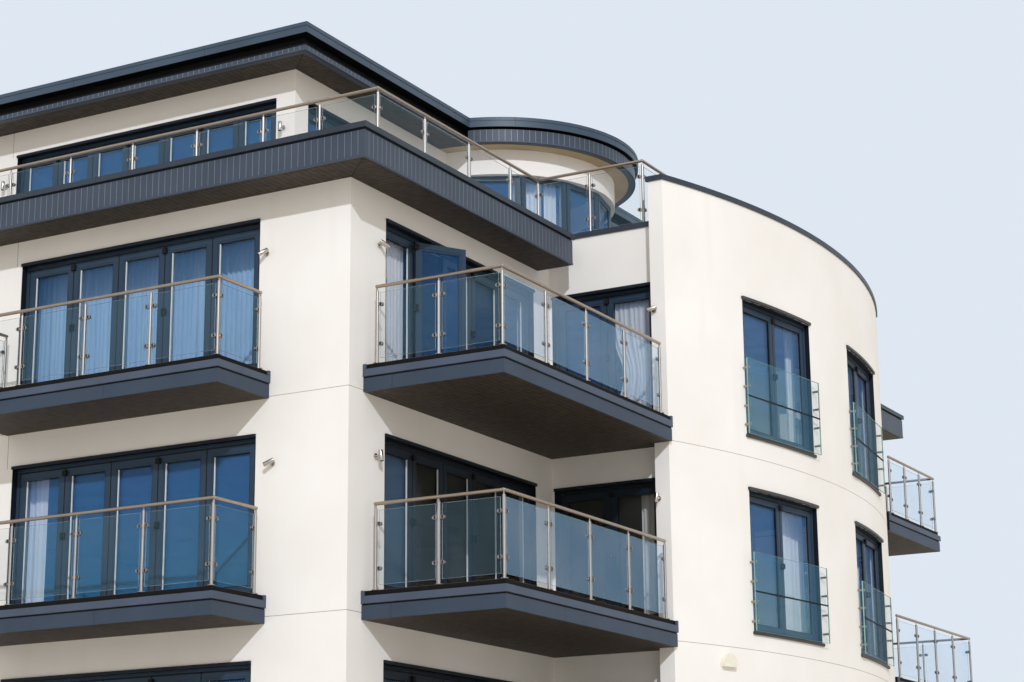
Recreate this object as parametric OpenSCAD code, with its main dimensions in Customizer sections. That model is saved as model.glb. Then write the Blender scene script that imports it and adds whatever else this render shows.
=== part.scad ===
// Apartment block: four rendered storeys with balconies, a curved street wall between two recesses,
// and a set-back top flat with a round bay under an overhanging roof.
// Millimetres. The origin is the middle of the block's footprint, on the ground. +X faces the street
// that the curved wall looks at, -Y faces the street of the wide balconies, +Z is up.

/* [Block] */
// Length of the front wall, along X
block_w = 12770; // [11600:10:14000]
// Length of the side, along Y
block_d = 19400; // [18800:10:21000]
// Thickness of the straight outer walls
wall_t = 300; // [260:10:400]
// Height of the ground storey's floor above the ground
ground_ffl = 150; // [50:10:400]
// Height from one floor to the next
storey_h = 3000; // [2800:10:3400]
// Number of rendered storeys under the terrace
storeys = 4; // [2:1:4]
// Thickness of a floor slab
slab_t = 250; // [200:10:350]
// Head of every door and window above its floor
head_h = 2140; // [2000:10:2300]

/* [Curved wall] */
// Outside radius of the curved wall
drum_r = 13650; // [13000:50:16000]
// Thickness of the curved wall
drum_t = 220; // [200:5:260]
// Distance along Y from the front corner to the curved wall's first end
drum_start = 5320; // [5200:10:5400]
// Distance along Y from the rear wall's face to the curved wall's second end
drum_end = 4820; // [4700:10:4900]
// How far the curved wall's ends stand out of the block's side
drum_out = 2080; // [1900:10:2200]
// Step back from the curved wall's end to the recess wall
recess_step = 250; // [200:10:350]
// Angle from the middle of the curved wall to the middle of each window
drum_window_angle = 7.9; // [7:0.1:9]
// Top of the curved wall's coping above the terrace
drum_parapet_h = 760; // [600:10:1100]
// Top of the recess walls' coping above the terrace
recess_parapet_h = 140; // [120:10:200]

/* [Doors and windows] */
// Width of a wide folding door in the front wall
front_door_w = 4230; // [3600:10:4400]
// Wall between the front corner and the first folding door
front_pier = 1470; // [1400:10:1700]
// Leaves of a wide folding door
front_leaves = 5; // [4:1:6]
// Width of the folding door in the side wall
side_door_w = 4180; // [3600:10:4200]
// Wall between the front corner and the side wall's folding door
side_pier = 870; // [700:10:1000]
// Leaves of the side wall's folding door
side_leaves = 5; // [4:1:6]
// Angle of the one leaf that stands open, on the top rendered storey
open_angle = 31; // [10:1:60]
// Width of the folding door in the rear part of the side wall
rear_door_w = 3240; // [2800:10:3400]
// Leaves of the rear folding door
rear_leaves = 4; // [3:1:5]
// Wall between the corner of a recess and its window
recess_pier = 40; // [20:5:80]
// Width of the window in a recess wall
recess_window_w = 1780; // [1500:10:1790]
// Width of a two-leaf window in the curved, rear and back walls
window_w = 2060; // [1800:10:2200]
// Depth of the frames behind the wall's face
reveal = 95; // [80:5:160]
// Depth of a frame
frame_t = 60; // [50:5:70]
// Width of the fixed outer frame
frame_w = 60; // [40:5:80]
// Width of a leaf's stiles and rails
stile_w = 100; // [80:5:120]
// Thickness of the glass in doors and windows
glass_t = 24; // [16:2:32]

/* [Balconies] */
// Depth of a front balcony
balcony_d = 1160; // [1000:10:1400]
// Width of a front balcony
front_balcony_w = 4600; // [4200:10:4800]
// Wall between the front corner and the first front balcony
front_end = 1250; // [1200:10:1300]
// Depth of a corner balcony
corner_d = 2155; // [2100:5:2400]
// Distance along Y from the front corner to the corner balcony
corner_start = 320; // [200:10:500]
// Distance along Y from the rear wall's face to the far end of the rear corner balconies
rear_end = 320; // [200:10:700]
// The same distance for the top rear corner balcony
top_rear_end = 2000; // [1400:10:2400]
// Height of a balcony's edge
deck_h = 370; // [300:10:420]
// Height of the balcony's lower fascia
fascia_h = 200; // [150:5:240]
// Height of the flashing strip over the fascia
flashing_h = 100; // [80:5:120]
// How far the fascia stands back from the flashing
fascia_back = 20; // [10:5:40]
// How far the deck's edge stands back from the flashing
deck_back = 40; // [20:5:60]
// Thickness of the boards under a balcony
soffit_t = 25; // [15:5:40]

/* [Rails] */
// Height of a balcony's handrail above its deck
rail_h = 1150; // [1000:10:1200]
// The same height on the top balconies
top_rail_h = 1080; // [1000:10:1200]
// Diameter of the handrails
rail_dia = 48; // [42:2:60]
// Diameter of the posts
post_dia = 42; // [36:2:50]
// Distance of the posts' middle from the balcony's edge
rail_inset = 70; // [50:5:100]
// Thickness of the glass in the rails
pane_t = 10; // [8:1:16]
// Gap between a post and its glass, where the clamps sit
clamp_gap = 28; // [20:1:40]
// Gap under the glass
pane_low = 70; // [40:5:100]
// Gap between the glass and the top of the handrail
pane_high = 110; // [80:5:150]
// Distance between the posts of the front balconies, at most
front_pitch = 1120; // [900:10:1400]
// Distance between the posts of the corner balconies, at most
corner_pitch = 1180; // [900:10:1400]
// Distance of a balcony's post nearest the wall from that wall
first_post = 180; // [150:5:260]
// Distance of the last post of a corner balcony from the curved wall's end
last_post = 260; // [200:5:400]

/* [Terrace] */
// Overhang of the terrace's edge beyond the walls
band_out = 620; // [560:10:700]
// Height of the boarded band at the terrace's edge
band_h = 400; // [400:10:500]
// Thickness of the band's boards with their rails
band_t = 60; // [40:5:80]
// Height of the coping over the band
coping_h = 80; // [60:5:90]
// How far a coping stands out over what it covers
coping_out = 25; // [15:5:50]
// Distance along Y from the front corner to the end of the band
band_end = 5190; // [5100:10:5250]
// Distance of the terrace rail from the front and rear walls
terrace_rail_y = 1050; // [800:10:1200]
// Distance of the terrace rail from the side and back walls
terrace_rail_x = 260; // [200:5:400]
// How far the terrace rail runs out over the curved part
terrace_rail_out = 1570; // [1400:10:1650]
// Height of the terrace rail above the terrace
terrace_rail_h = 1210; // [1100:10:1300]
// Distance between the posts of the terrace rail, at most
terrace_pitch = 1270; // [900:10:1400]
// Span of the two shorter bays at each outer corner of the terrace rail
corner_bay = 980; // [800:10:1200]
// Span of the shorter bay where the terrace rail meets the recess wall
recess_bay = 900; // [700:10:1200]

/* [Top flat] */
// Distance of its front and rear walls from the block's
flat_back = 2760; // [2600:10:3000]
// Distance of its side and back walls from the block's
flat_side = 2870; // [2700:10:3000]
// Thickness of its walls
flat_t = 250; // [200:10:300]
// Width of its wide folding doors
flat_door_w = 5210; // [4600:10:5400]
// Leaves of its wide folding doors
flat_leaves = 7; // [6:1:8]
// Width of its side folding doors
flat_side_door_w = 2700; // [2400:10:2800]
// Wall between its street corners and the doors on both sides of them
flat_pier = 350; // [300:10:400]
// Leaves of its side folding doors
flat_side_leaves = 3; // [2:1:4]
// Height of its walls
flat_h = 2605; // [2550:5:2800]

/* [Round bay] */
// Outside radius of the round bay's wall
bay_r = 2090; // [2000:10:2200]
// Thickness of the round bay's wall
bay_t = 200; // [160:10:240]
// Distance along Y from the front corner to the bay's middle
bay_y = 9360; // [9300:10:9600]
// How far the bay's middle lies behind the top flat's side wall
bay_in = 180; // [100:10:300]
// Half of the angle that the bay's glass covers
bay_glass_angle = 74; // [60:1:76]
// Leaves of the bay's glass
bay_leaves = 6; // [4:1:8]

/* [Roof] */
// Overhang of the roof's top edge beyond the top flat's walls
roof_out = 630; // [500:10:700]
// Overhang of the bay roof's top edge beyond the bay's wall
bay_out = 430; // [350:10:500]
// How far the cladding strip stands back from the top edge
strip_back = 50; // [30:5:120]
// How far the shadow gap stands back from the top edge
gap_back = 180; // [140:5:240]
// Height of the top fascia
cap_h = 170; // [140:5:200]
// Height of the shadow gap
gap_h = 140; // [100:5:180]
// Height of the cladding strip
strip_h = 120; // [90:5:160]

/* [Small pieces] */
// Width of a window guard's glass
guard_w = 2200; // [2100:10:2300]
// Height of a window guard's upper and of its lower glass
guard_h = 585; // [500:5:650]
// Gap between the two
guard_gap = 10; // [5:1:20]
// Thickness of a window guard's glass
guard_t = 18; // [12:1:20]
// Distance from the wall's nearest point to a guard's glass
guard_off = 40; // [30:5:60]
// Height of the trims over and under the curved wall's windows
trim_h = 45; // [30:5:80]
// How far those trims stand out of the wall
trim_out = 35; // [20:5:60]
// Diameter of a guard's pins
pin_dia = 36; // [30:2:50]
// Distance of the front wall's lights from its corners
light_in = 1370; // [1200:10:1450]
// Distance of the side wall's lights from its folding door
light_side = 170; // [80:10:300]
// Height of the wall lights above their floor
light_h = 1740; // [1600:10:1900]
// Diameter of a wall light
light_dia = 60; // [50:2:90]
// Width of the alarm box
alarm_w = 300; // [250:10:400]
// Depth of the alarm box
alarm_t = 80; // [50:5:120]
// Angle from the middle of the curved wall to the alarm box
alarm_angle = -15.1; // [-16:0.1:-13]
// Height of the alarm box above the first upper floor
alarm_h = 2470; // [2300:10:2600]

/* [Hidden] */

// Room between faces that would otherwise overlap
touch = 0.3;
// Facets of a full circle on posts and pins
round_fn = 24;
// Facets of the round bay
bay_fn = 144;
// Facets that the curved wall's full circle would have
drum_fn = 720;
// How far a pane of the round bay laps behind its frame
pane_lap = 20;
// Thickness of a wall light's plate
light_plate = 12;
// Reach of a cut past the face that it opens
past = 50;
// Heights
terrace_z = ground_ffl + storeys * storey_h - 10;
slab_low = terrace_z - slab_t;
flat_top = terrace_z + flat_h;
roof_z = flat_top - soffit_t;
roof_top = roof_z + strip_h + gap_h + cap_h;
// Curved wall
drum_far = block_d - drum_end;
drum_y = (drum_start + drum_far) / 2;
drum_half = (drum_far - drum_start) / 2;
drum_x = drum_out - sqrt(drum_r * drum_r - drum_half * drum_half);
drum_in_r = drum_r - drum_t;
drum_top = terrace_z + drum_parapet_h;
recess_y = drum_start + recess_step;
recess_rear_y = drum_far - recess_step;
recess_top = terrace_z + recess_parapet_h;
// Places of doors and windows along their walls
front_doors_x = [-front_pier - front_door_w, front_pier - block_w];
front_balconies_x = [-front_end - front_balcony_w, front_end - block_w];
rear_door_y = (recess_rear_y + block_d - rear_door_w) / 2;
back_windows_y = [for (i = [0 : 3]) block_d * (i + 0.5) / 4];
rear_windows_x = [for (i = [0, 1]) front_doors_x[i] + front_door_w / 2];
flat_w = block_w - 2 * flat_side;
flat_d = block_d - 2 * flat_back;
flat_door_x = -flat_side - flat_pier - flat_door_w;
flat_side_y = flat_back + flat_pier;
flat_rear_y = block_d - flat_side_y - flat_side_door_w;
bay_x = -flat_side - bay_in;
// Rails
corner_rail_x = corner_d - rail_inset;
terrace_near = recess_y + wall_t / 2;
terrace_far = recess_rear_y - wall_t / 2;
post_r = post_dia / 2;

// Floor level of a storey, counted from 0 at the ground
function floor_z(k) = ground_ffl + k * storey_h;

// Place along X of the curved wall's inner face at a place along Y
function drum_inside(y) = drum_x + sqrt(drum_in_r * drum_in_r - (y - drum_y) * (y - drum_y)) - touch;

// Rear end of a corner balcony on a storey
function rear_end_of(k) = block_d - (k == storeys - 1 ? top_rear_end : rear_end);

// Height of the balcony rails on a storey
function rail_height(k) = k == storeys - 1 ? top_rail_h : rail_h;

// Equal spans that are no longer than the pitch
function post_places(length, pitch) = [for (i = [0 : ceil(length / pitch)])
    i * length / ceil(length / pitch)];

// Short bays at the start and the end of a length, and equal spans between them
function terrace_places(length, starts, ends, bay) =
    let (middle = post_places(length - (starts + ends) * bay, terrace_pitch))
    concat([for (i = [0 : 1 : starts - 1]) i * bay], [for (p = middle) starts * bay + p],
        [for (i = [ends - 1 : -1 : 0]) length - i * bay]);

// Everything below is placed from the front corner, where the front wall meets the side wall
module from_corner() {
    translate([block_w / 2, -block_d / 2, 0]) children();
}

// Places of the four wall directions: local x runs along the wall, local y runs into it
module in_front(x, y, z) { translate([x, y, z]) children(); }
module in_side(x, y, z) { translate([x, y, z]) rotate([0, 0, 90]) children(); }
module in_rear(x, y, z) { translate([x, y, z]) rotate([0, 0, 180]) children(); }
module in_back(x, y, z) { translate([x, y, z]) rotate([0, 0, -90]) children(); }

// Place on the curved wall at an angle: local x runs along the wall from the window's middle
module in_drum(angle, off, z) {
    translate([drum_x, drum_y, z]) rotate([0, 0, angle]) translate([off, 0, 0])
        rotate([0, 0, 90]) children();
}

// Cut for a door or window of a given width, from its floor up
module door_cut(w, depth) {
    translate([0, -past, 0]) cube([w, depth + 2 * past, head_h]);
}

// Frame of a folding door: a fixed frame and its leaves, closed but for the one that is named, where its
// head and its sill are bars of their own between the closed leaves
module door_frame(w, h, leaves, open = -1) {
    leaf_w = (w - 2 * frame_w) / leaves;
    difference() {
        translate([touch, 0, touch]) cube([w - 2 * touch, frame_t, h - 2 * touch]);
        for (i = [0 : leaves - 1])
            leaf_cut(i, leaf_w, h, i == open ? 0 : stile_w);
        if (open >= 0) for (x = [open * leaf_w, (open + 1) * leaf_w - touch])
            translate([frame_w + x, -past, -past]) cube([touch, frame_t + 2 * past, h + 2 * past]);
    }
}

// Cut of one leaf's light, inside its stiles and rails
module leaf_cut(i, leaf_w, h, stile) {
    translate([frame_w + i * leaf_w + stile, -past, frame_w + stile])
        cube([leaf_w - 2 * stile, frame_t + 2 * past, h - 2 * frame_w - 2 * stile]);
}

// Sheet of glass that closes a door, behind its frame, in two parts beside a leaf that stands open
module door_pane(w, h, leaves = 1, open = -1) {
    leaf_w = (w - 2 * frame_w) / leaves;
    if (open < 0) translate([frame_w, frame_t, frame_w]) cube([w - 2 * frame_w, glass_t, h - 2 * frame_w]);
    else for (part = [[0, open], [open + 1, leaves]])
        translate([frame_w + part[0] * leaf_w, frame_t, frame_w])
            cube([(part[1] - part[0]) * leaf_w, glass_t, h - 2 * frame_w]);
}

// The leaf that stands open, turned out about its near edge, as a frame or as glass
module open_leaf(w, h, leaves, open, pane) {
    leaf_w = (w - 2 * frame_w) / leaves;
    translate([frame_w + open * leaf_w, -touch, frame_w + touch]) rotate([0, 0, -open_angle])
        if (pane) translate([stile_w + touch, -frame_t / 2 - glass_t / 2, stile_w + touch])
            cube([leaf_w - 2 * stile_w - 2 * touch, glass_t, h - 2 * frame_w - 2 * stile_w - 4 * touch]);
        else difference() {
            translate([0, -frame_t, 0]) cube([leaf_w, frame_t, h - 2 * frame_w - 2 * touch]);
            translate([stile_w, -frame_t - past, stile_w])
                cube([leaf_w - 2 * stile_w, frame_t + 2 * past, h - 2 * frame_w - 2 * stile_w - 2 * touch]);
        }
}

// Outline of the curved part between the recess walls, out to a radius
module drum_outline(r, y_low, y_high) {
    intersection() {
        translate([drum_x, drum_y]) circle(r = r, $fn = drum_fn);
        translate([-wall_t, y_low]) square([2 * drum_out + wall_t, y_high - y_low]);
    }
}

// Outline of the floors inside the walls
module floor_outline() {
    translate([wall_t - block_w, wall_t]) square([block_w - 2 * wall_t, block_d - 2 * wall_t]);
    drum_outline(drum_in_r - touch, recess_y + wall_t, recess_rear_y - wall_t);
}

// Segment of the curved wall between two distances along Y; the inner circle is turned so that one of
// its facets' corners lies at the wall's end
module drum_segment(y_low, y_high, low, high, r_out, r_in, end = 0) {
    translate([0, 0, low]) linear_extrude(high - low) difference() {
        drum_outline(r_out, y_low, y_high);
        translate([drum_x, drum_y]) rotate(end * asin(drum_half / r_in)) circle(r = r_in, $fn = drum_fn);
    }
}

// One half of the curved wall, with a column of windows
module drum_half_wall(y_low, y_high, angle) {
    end = angle < 0 ? -1 : 1;
    difference() {
        drum_segment(y_low, y_high, 0, drum_top - coping_h, drum_r, drum_in_r, end);
        for (k = [0 : storeys - 1])
            in_drum(angle, drum_r + past, floor_z(k))
                translate([-window_w / 2, 0, 0]) door_cut(window_w, drum_t + 2 * past);
    }
}

// Outline of the terrace out to a distance from the walls, with the recesses and the curved part cut out
module edge_area(out, stop) {
    difference() {
        translate([-block_w - out, -out]) square([block_w + 2 * out, block_d + 2 * out]);
        translate([0, stop]) square([out + past, 2 * (drum_y - stop)]);
    }
}

// Outline of the top flat without its bay, out to a distance from its walls
module flat_outline(out) {
    translate([-flat_side - flat_w - out, flat_back - out]) square([flat_w + 2 * out, flat_d + 2 * out]);
}

// Outline of the roof at a distance in from its top edge
module roof_outline(back) {
    flat_outline(roof_out - back);
    translate([bay_x, bay_y]) circle(r = bay_r + bay_out - back, $fn = bay_fn);
}

// Edge of a balcony: fascia, flashing and deck over a plan outline that starts at the origin
module balcony_edge(length, depth) {
    translate([fascia_back, fascia_back, soffit_t])
        cube([length - 2 * fascia_back, depth - fascia_back, fascia_h - soffit_t]);
    translate([0, 0, fascia_h]) cube([length, depth, flashing_h]);
    translate([deck_back, deck_back, fascia_h + flashing_h])
        cube([length - 2 * deck_back, depth - deck_back, deck_h - fascia_h - flashing_h]);
    balcony_rim(length, depth);
}

// Rim of the fascia round the boards under a balcony
module balcony_rim(length, depth) {
    translate([fascia_back, fascia_back, 0]) difference() {
        cube([length - 2 * fascia_back, depth - fascia_back, soffit_t + 1]);
        translate([soffit_t, soffit_t, -past])
            cube([length - 2 * fascia_back - 2 * soffit_t, depth, soffit_t + past]);
    }
}

// Boards under a balcony, inside the rim
module balcony_boards(length, depth) {
    rim = fascia_back + soffit_t + touch;
    translate([rim, rim, 0]) cube([length - 2 * rim, depth - rim, soffit_t]);
}

// Straight length of rail along X: posts at the places given, under one handrail
module rail(length, places, height) {
    for (x = places) translate([x, 0, 0]) cylinder(d = post_dia, h = height - rail_dia / 2, $fn = round_fn);
    translate([-rail_dia / 2, 0, height - rail_dia / 2]) rotate([0, 90, 0])
        cylinder(d = rail_dia, h = length + rail_dia, $fn = round_fn);
}

// Panes between the posts of a rail, each with four lugs for its clamps
module rail_panes(places, height) {
    side = post_r + clamp_gap;
    for (i = [0 : len(places) - 2]) {
        pane_w = places[i + 1] - places[i] - 2 * side;
        pane_h = height - pane_low - pane_high;
        translate([places[i] + side, -pane_t / 2, pane_low]) {
            cube([pane_w, pane_t, pane_h]);
            for (z = [pane_h / 5, pane_h * 4 / 5])
                translate([touch - clamp_gap, 0, z])
                    cube([pane_w + 2 * clamp_gap - 2 * touch, pane_t, pane_t * 3]);
        }
    }
}

// Places of the front balconies: storeys above the ground, two bays
module at_front_balconies() {
    for (k = [1 : storeys - 1], x = front_balconies_x) translate([x, 0, floor_z(k)]) children();
}

module floor_slabs() {
    color("lightgray") from_corner() {
        linear_extrude(ground_ffl) floor_outline();
        for (k = [1 : storeys - 1])
            translate([0, 0, floor_z(k) - slab_t]) linear_extrude(slab_t) floor_outline();
    }
}

// Outline inside the band
module band_inside() {
    edge_area(band_out - band_t, band_end - band_t);
}

module terrace_slab() {
    color("gray") from_corner() translate([0, 0, slab_low]) linear_extrude(slab_t) {
        band_inside();
        drum_outline(drum_in_r - touch, recess_y + wall_t, recess_rear_y - wall_t);
    }
}

module front_wall() {
    color("floralwhite") from_corner() difference() {
        translate([-block_w, 0, 0]) cube([block_w, wall_t, slab_low]);
        for (k = [0 : storeys - 1], x = front_doors_x)
            in_front(x, 0, floor_z(k)) door_cut(front_door_w, wall_t);
    }
}

module side_walls() {
    color("floralwhite") from_corner() {
        difference() {
            translate([-wall_t, wall_t, 0]) cube([wall_t, recess_y, slab_low]);
            for (k = [0 : storeys - 1]) in_side(0, side_pier, floor_z(k)) door_cut(side_door_w, wall_t);
        }
        difference() {
            translate([-wall_t, recess_rear_y - wall_t, 0])
                cube([wall_t, block_d - recess_rear_y, slab_low]);
            for (k = [0 : storeys - 1]) in_side(0, rear_door_y, floor_z(k)) door_cut(rear_door_w, wall_t);
        }
    }
}

// Slab between two distances along Y that ends at the curved wall's inner face
module recess_slab(y_low, y_high, low, high) {
    translate([0, 0, low]) linear_extrude(high - low)
        polygon([[0, y_low], [drum_inside(y_low), y_low], [drum_inside(y_high), y_high], [0, y_high]]);
}

module recess_wall(y) {
    recess_slab(y, y + wall_t, 0, recess_top - coping_h);
}

module recess_walls() {
    color("floralwhite") from_corner() {
        difference() {
            recess_wall(recess_y);
            for (k = [0 : storeys - 1])
                in_front(recess_pier, recess_y, floor_z(k)) door_cut(recess_window_w, wall_t);
        }
        difference() {
            recess_wall(recess_rear_y - wall_t);
            for (k = [0 : storeys - 1])
                in_rear(recess_pier + recess_window_w, recess_rear_y, floor_z(k))
                    door_cut(recess_window_w, wall_t);
        }
    }
}

module drum_wall_left() {
    color("floralwhite") from_corner() drum_half_wall(drum_start, drum_y, -drum_window_angle);
}

module drum_wall_right() {
    color("floralwhite") from_corner() drum_half_wall(drum_y, drum_far, drum_window_angle);
}

module rear_wall() {
    color("floralwhite") from_corner() difference() {
        translate([-block_w, block_d - wall_t, 0]) cube([block_w, wall_t, slab_low]);
        for (k = [0 : storeys - 1], x = rear_windows_x)
            in_rear(x + window_w / 2, block_d, floor_z(k)) door_cut(window_w, wall_t);
    }
}

module back_wall() {
    color("floralwhite") from_corner() difference() {
        translate([-block_w, wall_t, 0]) cube([wall_t, block_d - 2 * wall_t, slab_low]);
        for (k = [0 : storeys - 1], y = back_windows_y)
            in_back(-block_w, y + window_w / 2, floor_z(k)) door_cut(window_w, wall_t);
    }
}

module terrace_band() {
    color("darkslategray") from_corner() translate([0, 0, terrace_z - coping_h - band_h])
        linear_extrude(band_h) difference() {
            edge_area(band_out, band_end);
            band_inside();
        }
}

module terrace_soffit() {
    color("dimgray") from_corner() translate([0, 0, terrace_z - coping_h - band_h])
        linear_extrude(soffit_t) difference() {
            band_inside();
            translate([-block_w, 0]) square([block_w, block_d]);
        }
}

module copings() {
    color("darkslategray") from_corner() {
        translate([0, 0, terrace_z - coping_h]) linear_extrude(coping_h) difference() {
            edge_area(band_out + coping_out, band_end + coping_out);
            band_inside();
        }
        drum_segment(drum_start - coping_out, drum_far + coping_out, drum_top - coping_h, drum_top,
            drum_r + coping_out, drum_in_r - coping_out);
        for (y = [recess_y - coping_out, recess_rear_y - wall_t])
            recess_slab(y, y + wall_t + coping_out, recess_top - coping_h, recess_top);
    }
}

module flat_end_walls() {
    color("floralwhite") from_corner() {
        difference() {
            translate([-flat_side - flat_w, flat_back, terrace_z]) cube([flat_w, flat_t, flat_h]);
            in_front(flat_door_x, flat_back, terrace_z) door_cut(flat_door_w, flat_t);
        }
        difference() {
            translate([-flat_side - flat_w, block_d - flat_back - flat_t, terrace_z])
                cube([flat_w, flat_t, flat_h]);
            in_rear(flat_door_x + flat_door_w, block_d - flat_back, terrace_z)
                door_cut(flat_door_w, flat_t);
        }
    }
}

module flat_side_walls() {
    color("floralwhite") from_corner() difference() {
        translate([-flat_side - flat_t, flat_back + flat_t, terrace_z])
            cube([flat_t, flat_d - 2 * flat_t, flat_h]);
        in_side(-flat_side, flat_side_y, terrace_z) door_cut(flat_side_door_w, flat_t);
        in_side(-flat_side, flat_rear_y, terrace_z) door_cut(flat_side_door_w, flat_t);
        translate([bay_x, bay_y, terrace_z - past])
            cylinder(r = bay_r + touch, h = flat_h + 2 * past, $fn = bay_fn);
    }
}

module flat_back_wall() {
    color("floralwhite") from_corner() difference() {
        translate([-flat_side - flat_w, flat_back + flat_t, terrace_z])
            cube([flat_t, flat_d - 2 * flat_t, flat_h]);
        for (y = [block_d * 3 / 8, block_d * 5 / 8])
            in_back(-flat_side - flat_w, y + window_w / 2, terrace_z) door_cut(window_w, flat_t);
    }
}

module bay_wall() {
    color("floralwhite") from_corner() translate([bay_x, bay_y, terrace_z]) difference() {
        cylinder(r = bay_r, h = flat_h, $fn = bay_fn);
        translate([0, 0, -past]) cylinder(r = bay_r - bay_t, h = flat_h + 2 * past, $fn = bay_fn);
        translate([-2 * bay_r, -bay_r - past, -past])
            cube([2 * bay_r + bay_in - flat_t, 2 * bay_r + 2 * past, flat_h + 2 * past]);
        translate([0, 0, -past]) linear_extrude(head_h + past)
            polygon([[0, 0], for (a = [-1 : 0.5 : 1])
                2 * bay_r * [cos(a * bay_glass_angle), sin(a * bay_glass_angle)]]);
    }
}

module roof_slab() {
    color("black") from_corner() translate([0, 0, flat_top])
        linear_extrude(roof_top - cap_h - flat_top) roof_outline(gap_back);
}

module roof_cap() {
    color("darkslategray") from_corner() translate([0, 0, roof_top - cap_h])
        linear_extrude(cap_h) roof_outline(0);
}

module roof_cladding() {
    color("slategray") from_corner() translate([0, 0, roof_z]) linear_extrude(strip_h) difference() {
        roof_outline(strip_back);
        roof_outline(gap_back);
    }
}

module roof_soffit() {
    color("dimgray") from_corner() translate([0, 0, roof_z]) linear_extrude(soffit_t) difference() {
        flat_outline(roof_out - gap_back);
        flat_outline(0);
        translate([bay_x, bay_y]) circle(r = bay_r + bay_out - gap_back, $fn = bay_fn);
    }
}

module bay_soffit() {
    color("floralwhite") from_corner() translate([bay_x, bay_y, roof_z]) linear_extrude(soffit_t)
        difference() {
        circle(r = bay_r + bay_out - gap_back, $fn = bay_fn);
        circle(r = bay_r + touch, $fn = bay_fn);
        translate([-2 * bay_r, -2 * bay_r]) square([2 * bay_r + bay_in, 4 * bay_r]);
    }
}

module front_balconies() {
    color("darkslategray") from_corner() at_front_balconies()
        translate([0, -balcony_d, -deck_h]) balcony_edge(front_balcony_w, balcony_d);
}

// Plan of a corner balcony: out to the street, and back into the recess as far as the curved wall lets it
module corner_shape(inset, y_low, y_high, y_recess) {
    translate([0, y_low]) square([corner_d - inset, y_high - y_low]);
    edge = y_recess > y_high ? y_high : y_low;
    back = y_recess > y_high ? past : -past;
    polygon([[0, edge - back], [drum_inside(edge), edge - back], [drum_inside(edge), edge],
        [drum_inside(y_recess), y_recess], [0, y_recess]]);
}

// Edge of a corner balcony between two distances along Y, deep into the recess wall
module corner_edge(y_low, y_high, y_recess, free_low, free_high) {
    for (part = [[soffit_t, fascia_h - soffit_t, fascia_back], [fascia_h, flashing_h, 0],
            [fascia_h + flashing_h, deck_h - fascia_h - flashing_h, deck_back]])
        translate([0, 0, part[0]]) linear_extrude(part[1])
            corner_shape(part[2], y_low + free_low * part[2], y_high - free_high * part[2], y_recess);
    linear_extrude(soffit_t + 1) difference() {
        corner_shape(fascia_back, y_low + free_low * fascia_back, y_high - free_high * fascia_back, y_recess);
        corner_inside(y_low, y_high, y_recess, free_low, free_high, 0);
    }
}

// Plan of the boards under a corner balcony
module corner_inside(y_low, y_high, y_recess, free_low, free_high, room) {
    rim = fascia_back + soffit_t + room;
    corner_shape(rim, y_low + free_low * rim, y_high - free_high * rim, y_recess);
}

module corner_balconies() {
    color("darkslategray") from_corner() for (k = [1 : storeys - 1]) translate([0, 0, floor_z(k) - deck_h]) {
        corner_edge(corner_start, drum_start, recess_y, 1, 0);
        corner_edge(drum_far, rear_end_of(k), recess_rear_y, 0, 1);
    }
}

module balcony_soffits() {
    color("dimgray") from_corner() {
        at_front_balconies() translate([0, -balcony_d, -deck_h]) balcony_boards(front_balcony_w, balcony_d);
        for (k = [1 : storeys - 1]) translate([0, 0, floor_z(k) - deck_h]) {
            linear_extrude(soffit_t) corner_inside(corner_start, drum_start, recess_y, 1, 0, touch);
            linear_extrude(soffit_t) corner_inside(drum_far, rear_end_of(k), recess_rear_y, 0, 1, touch);
        }
    }
}

// Rails of one front balcony at a height, or their panes: one long length and two short ones
module front_rail_set(high, panes) {
    length = front_balcony_w - 2 * rail_inset;
    side = balcony_d - rail_inset - first_post;
    places = post_places(length, front_pitch);
    translate([rail_inset, rail_inset - balcony_d, 0]) {
        if (panes) rail_panes(places, high); else rail(length, places, high);
        for (x = [0, length]) translate([x, side, 0]) rotate([0, 0, -90])
            if (panes) rail_panes([0, side], high); else rail(side - rail_dia - touch, [0], high);
    }
}

module at_front_rails(panes) {
    for (k = [1 : storeys - 1], x = front_balconies_x)
        translate([x, 0, floor_z(k)]) front_rail_set(rail_height(k), panes);
}

module front_rails() {
    color("silver") from_corner() at_front_rails(false);
}

module front_rail_glass() {
    color("lightblue", 0.4) from_corner() at_front_rails(true);
}

// Rails of one corner balcony at a height, or their panes: one length along the street, and one from the
// wall to it
module corner_rail_set(length, high, panes) {
    side = corner_rail_x - first_post;
    translate([corner_rail_x, rail_inset, 0]) rotate([0, 0, 90])
        if (panes) rail_panes(post_places(length, corner_pitch), high);
        else rail(length, post_places(length, corner_pitch), high);
    translate([first_post, rail_inset, 0])
        if (panes) rail_panes([0, side / 2, side], high);
        else rail(side - rail_dia - touch, [0, side / 2], high);
}

module at_corner_balconies(panes) {
    for (k = [1 : storeys - 1]) {
        translate([0, corner_start, floor_z(k)])
            corner_rail_set(drum_start - last_post - corner_start - rail_inset, rail_height(k), panes);
        translate([0, rear_end_of(k), floor_z(k)]) mirror([0, 1, 0])
            corner_rail_set(rear_end_of(k) - rail_inset - drum_far - last_post, rail_height(k), panes);
    }
}

module corner_rails() {
    color("silver") from_corner() at_corner_balconies(false);
}

module corner_rail_glass() {
    color("lightblue", 0.4) from_corner() at_corner_balconies(true);
}

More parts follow.
